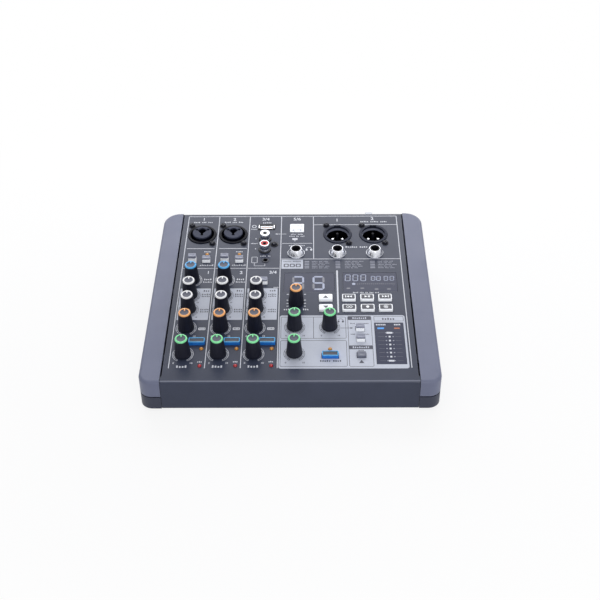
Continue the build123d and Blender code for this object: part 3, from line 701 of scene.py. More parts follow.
# Painted highlight: a paler copy of the button blue for the lit tops of the mute buttons.
BUTTON_BLUE_LIT = cap_plastic("button_blue_painted_highlight", shade(96, 190, 248), shade(84, 178, 240), (0.2, 0.3))
NYLON = finish("nylon_black", shade(20, 21, 30), shade(14, 15, 22), rough=(0.36, 0.46),
               tone_scale=200.0, grain=(3400.0, 0.00001), edge=0.0002, specular=0.35)
CHROME = finish("polished_chrome", shade(225, 227, 233), shade(210, 212, 220), rough=(0.2, 0.3),
                tone_scale=300.0, grain=(700.0, 0.000003), edge=0.0001, metallic=1.0)
# Painted glints: the strongly gained pale edges stand for bright glints on the screws.
SCREW = finish("screw_oxide", shade(20, 22, 37), shade(14, 16, 29), rough=(0.25, 0.4), tone_scale=420.0,
               grain=(2400.0, 0.00001), edge=0.0002, specular=0.12,
               wear_and_highlight=(shade(190, 192, 200), 0.0004, 4.0))
WINDOW = finish("smoked_window", shade(62, 66, 88), shade(58, 62, 84), rough=(0.2, 0.28),
                tone_scale=20.0, grain=(300.0, 0.000001), edge=0.0002, specular=0.25)
INK_WHITE = printed_ink("ink_white", shade(222, 225, 234), shade(212, 215, 226))
INK_GREY = printed_ink("ink_grey", shade(158, 161, 177), shade(150, 153, 169))
INK_PALE = printed_ink("ink_pale", shade(198, 203, 217), shade(192, 197, 212))
INK_DARK = printed_ink("ink_dark", shade(72, 74, 90), shade(64, 66, 82))
AMBER = lamp_lens("amber_lens", shade(226, 158, 62), shade(206, 136, 44))
RED = lamp_lens("red_lens", shade(196, 26, 42), shade(160, 16, 32))
SEGMENT_LIT = lamp_lens("segment_lit", shade(152, 160, 188), shade(142, 151, 182), 0.06)
SEGMENT_DIM = lamp_lens("segment_dim", shade(98, 100, 118), shade(92, 94, 112))
LAMP_BLUE = lamp_lens("lamp_blue", shade(58, 146, 222), shade(48, 132, 212), 0.35)
LAMP_ORANGE = lamp_lens("lamp_orange", shade(196, 112, 72), shade(178, 96, 58), 0.1)
BOARD = finish("solder_board", shade(30, 92, 58), shade(24, 78, 50), rough=(0.25, 0.4),
               tone_scale=120.0, grain=(1500.0, 0.00001), edge=0.0001)
RUBBER = finish("foot_rubber", shade(30, 30, 32), shade(24, 24, 26), rough=(0.7, 0.85),
                tone_scale=200.0, grain=(2600.0, 0.00003), edge=0.0004)
# Painted light and shade: the jacks and outputs are pale where lit and reflecting near the top, and near black
# down in their hollows.
COMBO = depth_shaded("combo_moulding", (shade(70, 74, 92), shade(62, 66, 84)),
                (shade(11, 13, 27), shade(8, 10, 21)), 1.6 * MM)
CUP = depth_shaded("cup_moulding", (shade(50, 54, 70), shade(44, 48, 64)),
              (shade(9, 9, 14), shade(6, 6, 10)), -2.6 * MM, softness=0.001)
RED_FILL = cap_plastic("red_fill", shade(214, 44, 56), shade(198, 34, 46))


# ---- CAD nodes that stay: their finish only ----

NODE_FINISH = {
    "top_cover": PAINT, "left_cheek": CHEEK, "right_cheek": CHEEK, "cheek_bases": BASE,
    "base_pan": ZINC, "feet": RUBBER, "main_board": BOARD, "potentiometers": NYLON,
    "switch_bodies": NYLON, "combo_jacks": COMBO, "xlr_outputs": CUP, "mini_jack": NYLON,
    "effects_display": WINDOW, "player_display": WINDOW, "level_meter": WINDOW,
    "screws": SCREW, "dc_inlet": NYLON,
}


def paint_nodes():
    for name, material in NODE_FINISH.items():
        mesh = frame["nodes"][name].data
        mesh.materials.clear()
        mesh.materials.append(material)


# ---- knobs ----

RING_COLOURS = {
    "trim": "ring_blue", "high": "ring_white", "low": "ring_white", "effect": "ring_orange",
    "level": "ring_green", "parameter": "ring_orange", "return": "ring_green",
    "phones": "ring_green", "main": "ring_green",
}
GRIP_FLUTES = 20
SHAFT_RADIUS = 3.0
RIM_DROP, CROWN_INSET = 1.05, 1.3    # from a knob's top to its rim, from its base to its crown
RING_WIDTH = 1.3


def make_knob(name, place):
    """A soft-touch knob on its shaft, with a coloured ring, a pointer and a dark centre."""
    low, high = panel_box(name)
    base = (high.x - low.x) / 2
    top = high.z
    rim = top - RIM_DROP
    crown = base - CROWN_INSET
    bm = bmesh.new()
    turned(bm, place, [
        (SHAFT_RADIUS, low.z), (SHAFT_RADIUS, 4.0), (base - 1.1, 4.0), (base - 1.1, 0.8), (base - 0.25, 0.8),
        (base, 1.1), (base - 0.02, 1.9),
    ] + [
        (base - 0.1 - (base - crown - 0.1) * t - 0.12 * math.sin(math.pi * t), 1.9 + (rim - 2.9) * t)
        for t in (0.08, 0.3, 0.55, 0.8, 1.0)
    ] + [(crown - 0.05, rim - 0.5), (crown - 0.2, rim - 0.25), (crown - 1.2, rim - 0.1)],
        count=GRIP_FLUTES * 6, flutes=GRIP_FLUTES, depth=0.14)
    body = piece(f"{name}_grip", bm, name, "knob_black", KNOB, smooth=50)
    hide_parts(name)

    outer = crown - 0.3
    inner = outer - RING_WIDTH
    ring = bmesh.new()
    ring_of(ring, place, [
        (inner, rim - 0.4), (outer, rim - 0.2), (outer + 0.02, rim + 0.2), (outer - 0.08, top - 0.5),
        (outer - 0.3, top - 0.18), (outer - 0.6, top), (inner + 0.25, top), (inner, top - 0.2),
    ], count=64)
    pointer_end = 0.42 * inner
    slab(ring, (place[0], place[1] + (inner + 0.4 + pointer_end) / 2),
         (0.95, inner + 0.4 - pointer_end), 0.3, [(0, rim - 0.3), (0, top - 0.14), (0.12, top - 0.04)])
    slot = RING_COLOURS[name.split("_")[0]]
    piece(f"{name}_ring", ring, name, slot, RINGS[slot])

    face = bmesh.new()
    turned(face, place, [(inner + 0.05, rim - 0.3), (inner + 0.05, top - 0.42),
                         (0.75 * inner, top - 0.55), (0.3 * inner, top - 0.62)], count=48)
    piece(f"{name}_face", face, name, "knob_black", KNOB_FACE)


# ---- push buttons ----

STEM = 3.0
CAP_ROOT = -3.5


def button_blank(name):
    """Place, plan size, top and lower end of a button, from its CAD node."""
    low, high = panel_box(name)
    place = ((low.x + high.x) / 2, (low.y + high.y) / 2)
    return place, (high.x - low.x, high.y - low.y), high.z, low.z


def stem(bm, place, end, number=0):
    slab(bm, place, (STEM, STEM), 0.3, [(0, end), (0, CAP_ROOT + 0.2)], number)


def make_latching_cap(name):
    """A small cap: white skirt that leans back, a waist groove painted dark as shade, and a grey top plate with a
    dish.
    """
    place, size, top, end = button_blank(name)
    waist = 0.6 * top
    bm = bmesh.new()
    stem(bm, place, end)
    # Bands: 1 is the white skirt, 2 the waist groove painted dark as shade, 0 the grey top.
    raked(bm, place, size, 0.5, [
        (0, 0, CAP_ROOT), (0, 0, 0.2), (0.04, 0.9, waist - 0.25), (0.1, 1.0, waist - 0.15),
        (0.35, 1.3, waist - 0.1), (0.35, 1.3, waist + 0.15), (0.08, 1.0, waist + 0.2),
        (0.02, 0.9, waist + 0.35), (0.02, 0.9, top - 0.3), (0.12, 0.9, top - 0.1),
        (0.3, 0.9, top), (1.1, 0.9, top), (1.5, 0.9, top - 0.18),
    ], [1, 1, 1, 1, 1, 2, 2, 2, 0, 0, 0, 0, 0, 0])
    return replace_button(name, bm, "cap_grey", CAP_GREY, CAP_WHITE, CAP_DARK)


def make_supply_cap(name):
    """The plain grey cap of the switch that sits low."""
    place, size, top, end = button_blank(name)
    bm = bmesh.new()
    stem(bm, place, end)
    slab(bm, place, size, 0.5, [
        (0, CAP_ROOT), (0, top - 0.5), (0.1, top - 0.15), (0.35, top), (1.2, top), (1.6, top - 0.15),
    ])
    return replace_button(name, bm, "cap_grey", CAP_SLATE)


def make_mute_button(name):
    """A wide blue frame with a painted highlight, a paler blue on its top, round a sunk dark pane."""
    place, size, top, end = button_blank(name)
    bm = bmesh.new()
    stem(bm, place, end)
    slab(bm, place, size, 1.0, [
        (0, CAP_ROOT), (0, top - 0.4), (0.1, top - 0.12), (0.3, top), (0.7, top),
        (0.8, top - 0.12), (0.82, top - 0.3), (1.1, top - 0.34),
    ], [0, 0, 1, 1, 1, 1, 1, 2, 2])
    return replace_button(name, bm, "button_blue", BUTTON_BLUE, BUTTON_BLUE_LIT, CAP_DARK)


def replace_button(name, bm, slot, *materials):
    made = piece(f"{name}_cap", bm, name, slot, *materials)
    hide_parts(name)
    return made


KEY_PLATE_RISE = 0.16
SIGN_ROOT, SIGN_RISE = 0.06, 0.05    # how far a key's sign reaches into its face and above it


def make_key(name, glyph, dark_plate):
    """A flat white key: a dark plate with a white sign, or a dark sign on the white."""
    place, size, top, end = button_blank(name)
    face = top - KEY_PLATE_RISE
    bm = bmesh.new()
    stem(bm, place, end)
    raked(bm, place, size, 1.0, [
        (0, 0, CAP_ROOT), (0, 0, 0.1), (0.03, 0.45, face - 0.3), (0.1, 0.55, face - 0.08),
        (0.3, 0.6, face),
    ], 0)
    sign_place = (place[0], place[1] + 0.35)
    if dark_plate:
        plate = (size[0] - 1.7, size[1] - 2.1)
        slab(bm, sign_place, plate, 0.7, [(0, face - 0.05), (0, top - 0.14), (0.1, top - 0.06)], 1)
        glyph(bm, sign_place, top - 0.06, 0)
    else:
        glyph(bm, sign_place, face, 1)
    return replace_button(name, bm, "cap_white", CAP_WHITE, CAP_DARK)


def raised(bm, corners, surface, number):
    """A small flat sign on a key."""
    prism(bm, corners, (surface - SIGN_ROOT, surface + SIGN_RISE), number)


def triangle(bm, place, surface, number, width, height, turn=0.0):
    """A flat triangle that points along turn, in degrees from up the panel."""
    spin = Matrix.Rotation(math.radians(turn), 2)
    corners = [(-width / 2, -height / 2), (width / 2, -height / 2), (0, height / 2)]
    raised(bm, [spin @ Vector(corner) + Vector(place) for corner in corners], surface, number)


def block(bm, place, surface, number, width, height):
    corners = [(-width / 2, -height / 2), (width / 2, -height / 2),
               (width / 2, height / 2), (-width / 2, height / 2)]
    raised(bm, [Vector(corner) + Vector(place) for corner in corners], surface, number)


def arrow_glyph(turn):
    """A sign with one triangle that points along turn."""
    def draw(bm, place, surface, number):
        triangle(bm, place, surface, number, 4.4, 2.8, turn)
    return draw


def skip_glyph(side):
    """Two triangles and a bar: side is -1 to the left, 1 to the right."""
    def draw(bm, place, surface, number):
        block(bm, (place[0] + side * 2.6, place[1]), surface, number, 0.7, 2.3)
        for offset in (0.9, -1.4):
            triangle(bm, (place[0] + side * offset, place[1]), surface, number, 2.3, 2.1, -side * 90)
    return draw


def play_glyph(bm, place, surface, number):
    triangle(bm, (place[0] - 0.9, place[1]), surface, number, 2.4, 2.3, -90)
    block(bm, (place[0] + 1.0, place[1]), surface, number, 0.6, 2.3)
    block(bm, (place[0] + 2.0, place[1]), surface, number, 0.6, 2.3)


def record_glyph(bm, place, surface, number):
    raised(bm, [Vector((point.x, point.y)) for point in circle(place, 1.25, 0, 24)], surface, number)


def flat_ring(bm, place, surface, number, radius, width):
    low, high = surface - SIGN_ROOT, surface + SIGN_RISE
    ring_of(bm, place, [(radius - width, low), (radius, low), (radius, high),
                        (radius - width, high)], number, 24)


def repeat_glyph(bm, place, surface, number):
    for side in (-1, 1):
        flat_ring(bm, (place[0] + side * 1.25, place[1]), surface, number, 1.25, 0.4)


def link_glyph(bm, place, surface, number):
    flat_ring(bm, place, surface, number, 0.55, 0.54)
    for radius in (1.15, 1.75):
        flat_ring(bm, place, surface, number, radius, 0.28)


KEY_GLYPHS = {
    "repeat_key": repeat_glyph, "record_key": record_glyph, "link_key": link_glyph,
    "back_key": skip_glyph(-1), "play_key": play_glyph, "next_key": skip_glyph(1),
}


def make_buttons():
    for name in ("pad_switch_1", "pad_switch_2", "phantom_switch_1", "phantom_switch_2",
                 "mono_switch", "listen_switch", "route_switch"):
        make_latching_cap(name)
    make_supply_cap("supply_switch")
    for name in ("mute_button_1", "mute_button_2", "mute_button_3", "main_mute_button"):
        make_mute_button(name)
    make_key("up_button", arrow_glyph(0.0), False)
    make_key("down_button", arrow_glyph(180), False)
    for name, glyph in KEY_GLYPHS.items():
        make_key(name, glyph, True)


# ---- connectors ----

JACK_BORE = 3.25
NUT_FACETS = 12
BOARD_TOP = panel_box("main_board")[1].z


def make_phone_jack(name, place):
    """A quarter-inch jack: body, black sleeve, and a chrome cone nut with a rolled foot."""
    top = panel_box("quarter_inch_jacks")[1].z
    bm = bmesh.new()
    slab(bm, place, (14.0, 14.0), 1.0, [(0, BOARD_TOP), (0, -1.5), (0.3, -1.2)])
    ring_of(bm, place, [(JACK_BORE, -1.25), (4.05, -1.25), (4.05, top - 0.25), (3.9, top - 0.1),
                        (JACK_BORE + 0.15, top - 0.1), (JACK_BORE, top - 0.35)])
    turned(bm, place, [(JACK_BORE - 0.05, -1.24), (JACK_BORE - 0.05, -1.1)])
    body = piece(f"{name}_body", bm, CONSOLE, "connector_black", NYLON)
    nut = bmesh.new()
    ring_of(nut, place, [
        (4.1, 0.0), (6.9, 0.0), (7.18, 0.15), (7.2, 0.6), (7.1, 0.95), (6.9, 1.05), (6.85, 1.25),
        (4.75, top - 0.35), (4.6, top - 0.1), (4.4, top), (4.2, top), (4.12, top - 0.15),
    ], count=72)
    cone_slots(nut, place, top)
    piece(f"{name}_nut", nut, CONSOLE, "chrome", CHROME, smooth=28)
    return body


def cone_slots(bm, place, top):
    """Spanner facets round the cone: short raised lands between the slots."""
    for step in range(NUT_FACETS):
        angle = 2 * math.pi * step / NUT_FACETS
        along = Vector((math.cos(angle), math.sin(angle), 0))
        across = Vector((-math.sin(angle), math.cos(angle), 0))
        foot, head = 6.72, 5.2
        rings = []
        for reach, height in ((foot, 1.4), (head, top - 1.2)):
            centre = Vector((*place, height)) + along * reach
            width = 0.55 * reach / foot
            rings.append([
                centre - across * width - along * 0.4, centre + across * width - along * 0.4,
                centre + across * width * 0.8 + along * 0.12,
                centre - across * width * 0.8 + along * 0.12,
            ])
        skin(bm, rings)


def make_phone_jacks():
    """The three quarter-inch jacks; their CAD group is hidden."""
    names = ("phones_jack", "main_left_jack", "main_right_jack")
    bodies = [make_phone_jack(name, panel_place(MOUNTS[name])) for name in names]
    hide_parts("quarter_inch_jacks")


RCA_HALF_BLOCK = (6.5, 6.75)
COLLAR_TEETH = 16


def make_rca(name, place, insert):
    """A phono socket: knurled black collar, chrome sleeve with a turned bead, coloured insert."""
    top = panel_box("rca_jacks")[1].z
    collar = bmesh.new()
    slab(collar, place, (2 * RCA_HALF_BLOCK[0], 2 * RCA_HALF_BLOCK[1]), 0.4,
         [(0, BOARD_TOP), (0, -1.25)])
    turned(collar, place, [(5.3, 0.0), (5.3, 0.6), (5.05, 0.85), (4.4, 0.9)],
           count=COLLAR_TEETH * 6, flutes=COLLAR_TEETH, depth=0.3)
    body = piece(f"{name}_collar", collar, CONSOLE, "connector_black", NYLON)
    sleeve = bmesh.new()
    ring_of(sleeve, place, [
        (3.25, 0.6), (4.15, 0.6), (4.15, 2.2), (3.95, 2.5), (3.95, 2.9), (4.15, 3.2), (4.15, top - 0.5),
        (4.0, top - 0.15), (3.85, top), (3.4, top), (3.25, top - 0.2),
    ], count=56)
    piece(f"{name}_sleeve", sleeve, CONSOLE, "chrome", CHROME)
    fill = bmesh.new()
    ring_of(fill, place, [
        (1.65, 0.9), (3.26, 0.9), (3.26, top - 0.22), (3.0, top - 0.15), (1.85, top - 0.15),
        (1.66, top - 0.35),
    ], count=56)
    piece(f"{name}_insert", fill, CONSOLE, "cap_white", insert)
    well = bmesh.new()
    ring_of(well, place, [(1.1, 1.0), (1.66, 1.0), (1.66, top - 0.5), (1.1, top - 0.6)], count=32)
    piece(f"{name}_contact", well, CONSOLE, "connector_black", NYLON)
    return body


def make_rca_pair():
    left, right = (panel_place(MOUNTS[name]) for name in ("phono_left", "phono_right"))
    body = make_rca("phono_left", left, CAP_WHITE)
    make_rca("phono_right", right, RED_FILL)
    tab = bmesh.new()
    screw = (right[0] + 8.0, (left[1] + right[1]) / 2)
    slab(tab, screw, (7.0, 6.4), 3.1, [(0, -1.2), (0, 0.0), (0.1, 0.35), (0.35, 0.5)])
    piece("phono_fixing_tab", tab, CONSOLE, "connector_black", NYLON)
    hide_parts("rca_jacks")


USB_A, USB_A_SIZE = (-22.5, 170.3), (14.8, 7.2)
USB_B, USB_B_SIZE = (3.9, 168.6), (12.2, 11.2)


def make_usb_a():
    """The flat port: folded shell, black cavity, white tongue, contacts and two side springs."""
    shell = bmesh.new()
    outer, mouth = USB_A_SIZE, (12.7, 5.3)
    rings = [rounded(USB_A, size, radius, height) for size, height, radius in (
        (outer, BOARD_TOP, 0.8), (outer, 0.3, 0.8), ((outer[0] - 0.4, outer[1] - 0.4), 0.5, 0.6),
        (mouth, 0.5, 0.3), ((mouth[0] - 0.3, mouth[1] - 0.3), 0.2, 0.3),
        ((mouth[0] - 0.3, mouth[1] - 0.3), -9.0, 0.3),
    )]
    skin(shell, rings, [0, 0, 0, 0, 0, 1, 1])
    body = piece("usb_a_shell", shell, CONSOLE, "chrome", NYLON, NYLON)
    tongue = bmesh.new()
    middle = (USB_A[0], USB_A[1] + 1.2)
    slab(tongue, middle, (11.1, 1.9), 0.2, [(0, -9.0), (0, -0.4), (0.15, -0.2)])
    piece("usb_a_tongue", tongue, CONSOLE, "cap_white", CAP_WHITE)
    contacts = bmesh.new()
    for step in range(4):
        u = USB_A[0] + (step - 1.5) * 2.2
        slab(contacts, (u, USB_A[1] - 0.1), (1.1, 0.5), 0.1, [(0, -8.0), (0, -0.5)])
    piece("usb_a_contacts", contacts, CONSOLE, "ring_orange", RINGS["ring_orange"])
    springs = bmesh.new()
    for side in (-1, 1):
        place = (USB_A[0] + side * 6.5, USB_A[1])
        slab(springs, place, (0.9, 4.4), 0.35, [(0, -1.5), (0, 0.55), (0.15, 0.75)])
    slab(springs, (USB_A[0], USB_A[1] - 2.5), (10.4, 0.8), 0.3, [(0, -1.5), (0, 0.55), (0.15, 0.7)])
    piece("usb_a_springs", springs, CONSOLE, "chrome", CHROME)
    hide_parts("usb_ports")


def make_usb_b():
    """The square port: white liner with its bevelled corners and a stepped tongue."""
    shell = bmesh.new()
    rings = [rounded(USB_B, size, radius, height) for size, height, radius in (
        (USB_B_SIZE, BOARD_TOP, 0.8), (USB_B_SIZE, 0.3, 0.8),
        ((USB_B_SIZE[0] - 0.5, USB_B_SIZE[1] - 0.5), 0.5, 0.7),
        ((8.8, 8.0), 0.5, 1.6), ((8.6, 7.8), 0.35, 1.5), ((8.6, 7.8), -0.8, 1.5),
    )]
    skin(shell, rings)
    piece("usb_b_liner", shell, CONSOLE, "cap_white", CAP_WHITE)
    tongue = bmesh.new()
    slab(tongue, (USB_B[0], USB_B[1] + 0.4), (6.4, 4.4), 0.3, [(0, -0.85), (0, 0.2), (0.2, 0.4)])
    piece("usb_b_tongue", tongue, CONSOLE, "cap_white", CAP_WHITE)
    latches = bmesh.new()
    for side in (-1, 1):
        slab(latches, (USB_B[0] + side * 3.4, USB_B[1] - 3.0), (1.3, 1.3), 0.4,
             [(0, -0.85), (0, 0.3), (0.2, 0.45)])
    piece("usb_b_latches", latches, CONSOLE, "cap_grey", CAP_GREY)


XLR_PIN_CIRCLE = 4.9
FLANGE_HALF = 13.0
SCREW_OFFSET = (9.5, 12.0)        # socket middle to its fixing screws


def socket_middles(node):
    """Middles of the two equal sockets that a CAD node holds, left one first."""
    low, high = panel_box(node)
    row = (low.y + high.y) / 2
    return [(column, row) for column in (low.x + FLANGE_HALF, high.x - FLANGE_HALF)]


def make_xlr_pins():
    """Turned tips over the three pins of each output: the two front tips bright, the rear tip painted black as
    shade.
    """
    bm = bmesh.new()
    for column, row in socket_middles("xlr_outputs"):
        for step in range(3):
            angle = math.pi * (0.5 + 2 * step / 3)
            place = (column + XLR_PIN_CIRCLE * math.cos(angle), row + XLR_PIN_CIRCLE * math.sin(angle))
            # Painted shade: the rear pin's tip takes the black nylon.
            turned(bm, place, [(1.24, -12.0), (1.24, -3.4), (1.1, -3.0), (0.7, -2.75), (0.2, -2.7)],
                   1 if step == 0 else 0, count=24)
    piece("xlr_pin_tips", bm, CONSOLE, "chrome", CHROME, NYLON)


def make_cup_ledges():
    """The paler step inside the mouth of each output."""
    bm = bmesh.new()
    for column, row in socket_middles("xlr_outputs"):
        ring_of(bm, (column, row), [(9.3, -3.2), (10.05, -3.2), (10.05, -1.2), (9.9, -1.2), (9.7, -2.2),
                                    (9.3, -2.4)], count=64)
    piece("cup_ledges", bm, CONSOLE, "connector_black", CAP_SLATE)


def make_ear_plates():
    """The dark screw ears beside the microphone jacks and the outputs."""
    bm = bmesh.new()
    for node in ("combo_jacks", "xlr_outputs"):
        for column, row in socket_middles(node):
            for side in (-1, 1):
                place = (column - side * SCREW_OFFSET[0], row + side * SCREW_OFFSET[1])
                ring_of(bm, place, [(1.75, -0.3), (2.9, -0.3), (2.9, 0.25), (2.7, 0.4), (1.75, 0.4)],
                        count=36)
    piece("screw_ears", bm, CONSOLE, "connector_black", NYLON)


def make_mini_collar():
    place = panel_place(MOUNTS["mini_jack_bore"])
    bm = bmesh.new()
    ring_of(bm, place, [(1.85, -0.4), (3.05, -0.4), (3.05, 0.35), (2.8, 0.55), (2.1, 0.55), (1.85, 0.3)])
    piece("mini_jack_collar", bm, CONSOLE, "connector_black", CAP_DARK)


# ---- lamps ----

LAMP_RADIUS = 1.5
MUTE_LAMP_ROW, PEAK_LAMP_ROW = 22.2, 4.4
LAMP_OFFSET = 13.55              # channel knob column to its lamps
SUPPLY_LAMPS = ((-71.6, 133.4), (-44.4, 133.4))
MAIN_LAMP = (30.2, 21.6)


def dome(bm, place, radius=LAMP_RADIUS, height=1.4):
    profile = [(radius, -2.0), (radius, height - radius * 0.9)]
    for step in range(1, 6):
        angle = math.pi / 2 * step / 6
        profile.append((radius * math.cos(angle), height - radius * 0.9 + radius * 0.9 * math.sin(angle)))
    turned(bm, place, profile, count=32)


def make_lamps():
    amber, red = bmesh.new(), bmesh.new()
    for column in CHANNEL_COLUMNS:
        dome(amber, (column + LAMP_OFFSET, MUTE_LAMP_ROW))
        dome(red, (column + LAMP_OFFSET, PEAK_LAMP_ROW))
    for place in (*SUPPLY_LAMPS, MAIN_LAMP):
        dome(amber, place)
    lamps = piece("amber_lamps", amber, CONSOLE, "lamp_amber", AMBER)
    piece("red_lamps", red, CONSOLE, "lamp_red", RED)
    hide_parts("indicator_leds")


# ---- repeated marks, each grown from one pattern ----


def marks_tree(name, inputs):
    """An empty geometry tree with the points in, the marks out and named inputs for sizes."""
    tree = bpy.data.node_groups.new(name, "GeometryNodeTree")
    tree.interface.new_socket("Geometry", in_out="INPUT", socket_type="NodeSocketGeometry")
    for label, kind, value in inputs:
        socket = tree.interface.new_socket(label, in_out="INPUT", socket_type=kind)
        if value is not None:
            socket.default_value = value
    tree.interface.new_socket("Geometry", in_out="OUTPUT", socket_type="NodeSocketGeometry")
    return tree, add_node(tree, "NodeGroupInput"), add_node(tree, "NodeGroupOutput")


def math_node(tree, operation, first, second):
    """One sum or product; each side is a socket or a number."""
    node = add_node(tree, "ShaderNodeMath", operation=operation)
    for socket, value in zip(node.inputs, (first, second)):
        if isinstance(value, (int, float)):
            socket.default_value = value
        else:
            tree.links.new(value, socket)
    return node.outputs[0]


def finish_marks(tree, marks, given, result):
    """Realizes the marks, gives them their material and puts them out."""
    real = add_node(tree, "GeometryNodeRealizeInstances")
    coat = add_node(tree, "GeometryNodeSetMaterial")
    tree.links.new(marks, real.inputs["Geometry"])
    wire(tree, (real, "Geometry", coat, "Geometry"), (given, "Material", coat, "Material"),
               (coat, "Geometry", result, "Geometry"))


def dial_scale_tree():
    """Ticks between two thin arcs round every point, open towards the front."""
    tree, given, result = marks_tree("dial_scale", [
        ("Tick Count", "NodeSocketInt", 9),
        ("Inner Radius", "NodeSocketFloat", 6.85),
        ("Outer Radius", "NodeSocketFloat", 7.95),
        ("Line Width", "NodeSocketFloat", 0.34),
        ("Ink Height", "NodeSocketFloat", PRINT),
        ("Start Angle", "NodeSocketFloat", math.radians(-60)),
        ("Sweep Angle", "NodeSocketFloat", math.radians(300)),
        ("Material", "NodeSocketMaterial", None),
    ])
    span = math_node(tree, "SUBTRACT", given.outputs["Outer Radius"], given.outputs["Inner Radius"])
    middle = math_node(tree, "MULTIPLY", math_node(
        tree, "ADD", given.outputs["Outer Radius"], given.outputs["Inner Radius"]), 0.5)
    index = add_node(tree, "GeometryNodeInputIndex").outputs[0]
    last = math_node(tree, "SUBTRACT", given.outputs["Tick Count"], 1.0)
    share = math_node(tree, "DIVIDE", index, last)
    angle = math_node(tree, "ADD", given.outputs["Start Angle"],
                      math_node(tree, "MULTIPLY", share, given.outputs["Sweep Angle"]))
    where = add_node(tree, "ShaderNodeCombineXYZ")
    tree.links.new(math_node(tree, "MULTIPLY", middle, math_node(tree, "COSINE", angle, 0)),
                   where.inputs["X"])
    tree.links.new(math_node(tree, "MULTIPLY", middle, math_node(tree, "SINE", angle, 0)),
                   where.inputs["Y"])
    points = add_node(tree, "GeometryNodePoints")
    wire(tree, (given, "Tick Count", points, "Count"), (where, 0, points, "Position"))
    size = add_node(tree, "ShaderNodeCombineXYZ")
    tree.links.new(span, size.inputs["X"])
    wire(tree, (given, "Line Width", size, "Y"), (given, "Ink Height", size, "Z"))
    tick = add_node(tree, "GeometryNodeMeshCube")
    wire(tree, (size, 0, tick, "Size"))
    turn = add_node(tree, "ShaderNodeCombineXYZ")
    tree.links.new(angle, turn.inputs["Z"])
    ticks = add_node(tree, "GeometryNodeInstanceOnPoints")
    wire(tree, (points, 0, ticks, "Points"), (tick, "Mesh", ticks, "Instance"),
               (turn, 0, ticks, "Rotation"))
    one_dial = add_node(tree, "GeometryNodeJoinGeometry")
    wire(tree, (ticks, 0, one_dial, 0))
    section = add_node(tree, "GeometryNodeCurvePrimitiveQuadrilateral")
    wire(tree, (given, "Line Width", section, "Width"), (given, "Ink Height", section, "Height"))
    for label in ("Inner Radius", "Outer Radius"):
        arc = add_node(tree, "GeometryNodeCurveArc", mode="RADIUS")
        preset(arc, Resolution=32)
        tree.links.new(given.outputs[label], arc.inputs["Radius"])
        wire(tree, (given, "Start Angle", arc, "Start Angle"),
                   (given, "Sweep Angle", arc, "Sweep Angle"))
        swept = add_node(tree, "GeometryNodeCurveToMesh")
        preset(swept, Fill_Caps=True)
        wire(tree, (arc, "Curve", swept, "Curve"), (section, "Curve", swept, "Profile Curve"),
                   (swept, "Mesh", one_dial, 0))
    dials = add_node(tree, "GeometryNodeInstanceOnPoints")
    wire(tree, (given, "Geometry", dials, "Points"), (one_dial, 0, dials, "Instance"))
    finish_marks(tree, dials.outputs[0], given, result)
    return tree


def bar_ladder_tree():
    """A column of equal bars below every point."""
    tree, given, result = marks_tree("bar_ladder", [
        ("Bar Count", "NodeSocketInt", 8),
        ("Pitch", "NodeSocketFloat", 4.3),
        ("Bar Size", "NodeSocketVector", (5.0, 0.5, PRINT)),
        ("Material", "NodeSocketMaterial", None),
    ])
    down = add_node(tree, "ShaderNodeCombineXYZ")
    tree.links.new(math_node(tree, "MULTIPLY", given.outputs["Pitch"], -1.0), down.inputs["Y"])
    column = add_node(tree, "GeometryNodeMeshLine", mode="OFFSET")
    wire(tree, (given, "Bar Count", column, "Count"), (down, 0, column, "Offset"))
    bar = add_node(tree, "GeometryNodeMeshCube")
    wire(tree, (given, "Bar Size", bar, "Size"))
    bars = add_node(tree, "GeometryNodeInstanceOnPoints")
    wire(tree, (column, "Mesh", bars, "Points"), (bar, "Mesh", bars, "Instance"))
    columns = add_node(tree, "GeometryNodeInstanceOnPoints")
    wire(tree, (given, "Geometry", columns, "Points"), (bars, 0, columns, "Instance"))
    finish_marks(tree, columns.outputs[0], given, result)
    return tree


def grow_marks(name, tree, places, height, slot, material, **values):
    """Runs a tree over points in panel millimetres and makes the result a plain piece."""
    mesh = bpy.data.meshes.new(name)
    mesh.from_pydata([(u, v, height) for u, v in places], [], [])
    holder = new_object(name + "_points", mesh)
    modifier = holder.modifiers.new("marks", "NODES")
    modifier.node_group = tree
    identifiers = {
        item.name: item.identifier for item in tree.interface.items_tree if item.in_out == "INPUT"
    }
    modifier[identifiers["Material"]] = material
    for label, value in values.items():
        modifier[identifiers[label.replace("_", " ")]] = value
    bpy.context.view_layer.update()
    grown = baked_mesh(holder)
    holder.modifiers.remove(modifier)
    bpy.data.objects.remove(holder)
    grown.name = name
    bm = bmesh.new()
    add_mesh(bm, grown)
    return piece(name, bm, CONSOLE, slot, material)


DIAL_SCALE = dial_scale_tree()
BAR_LADDER = bar_ladder_tree()


def make_dial_scales():
    white = [KNOBS[name] for name in KNOBS if name.split("_")[0] in ("trim", "effect", "level")]
    dark = [KNOBS[name] for name in KNOBS
            if name.split("_")[0] in ("high", "low", "return", "phones", "main")]
    grow_marks("dial_scales_white", DIAL_SCALE, white, PRINT / 2, "print_white", INK_WHITE)
    grow_marks("dial_scales_dark", DIAL_SCALE, dark, PRINT, "panel_paint", INK_DARK)


METER_ROWS = (39.2, 9.3)            # first and last row of the level meter
METER_COUNT = 8
METER_MIDDLE = 76.3
TABLE_ROWS = (124.2, 116.0)
TABLE_COUNT = 5
TABLE_COLUMNS = ((12.5, 24.0), (38.3, 51.5), (67.2, 79.0))


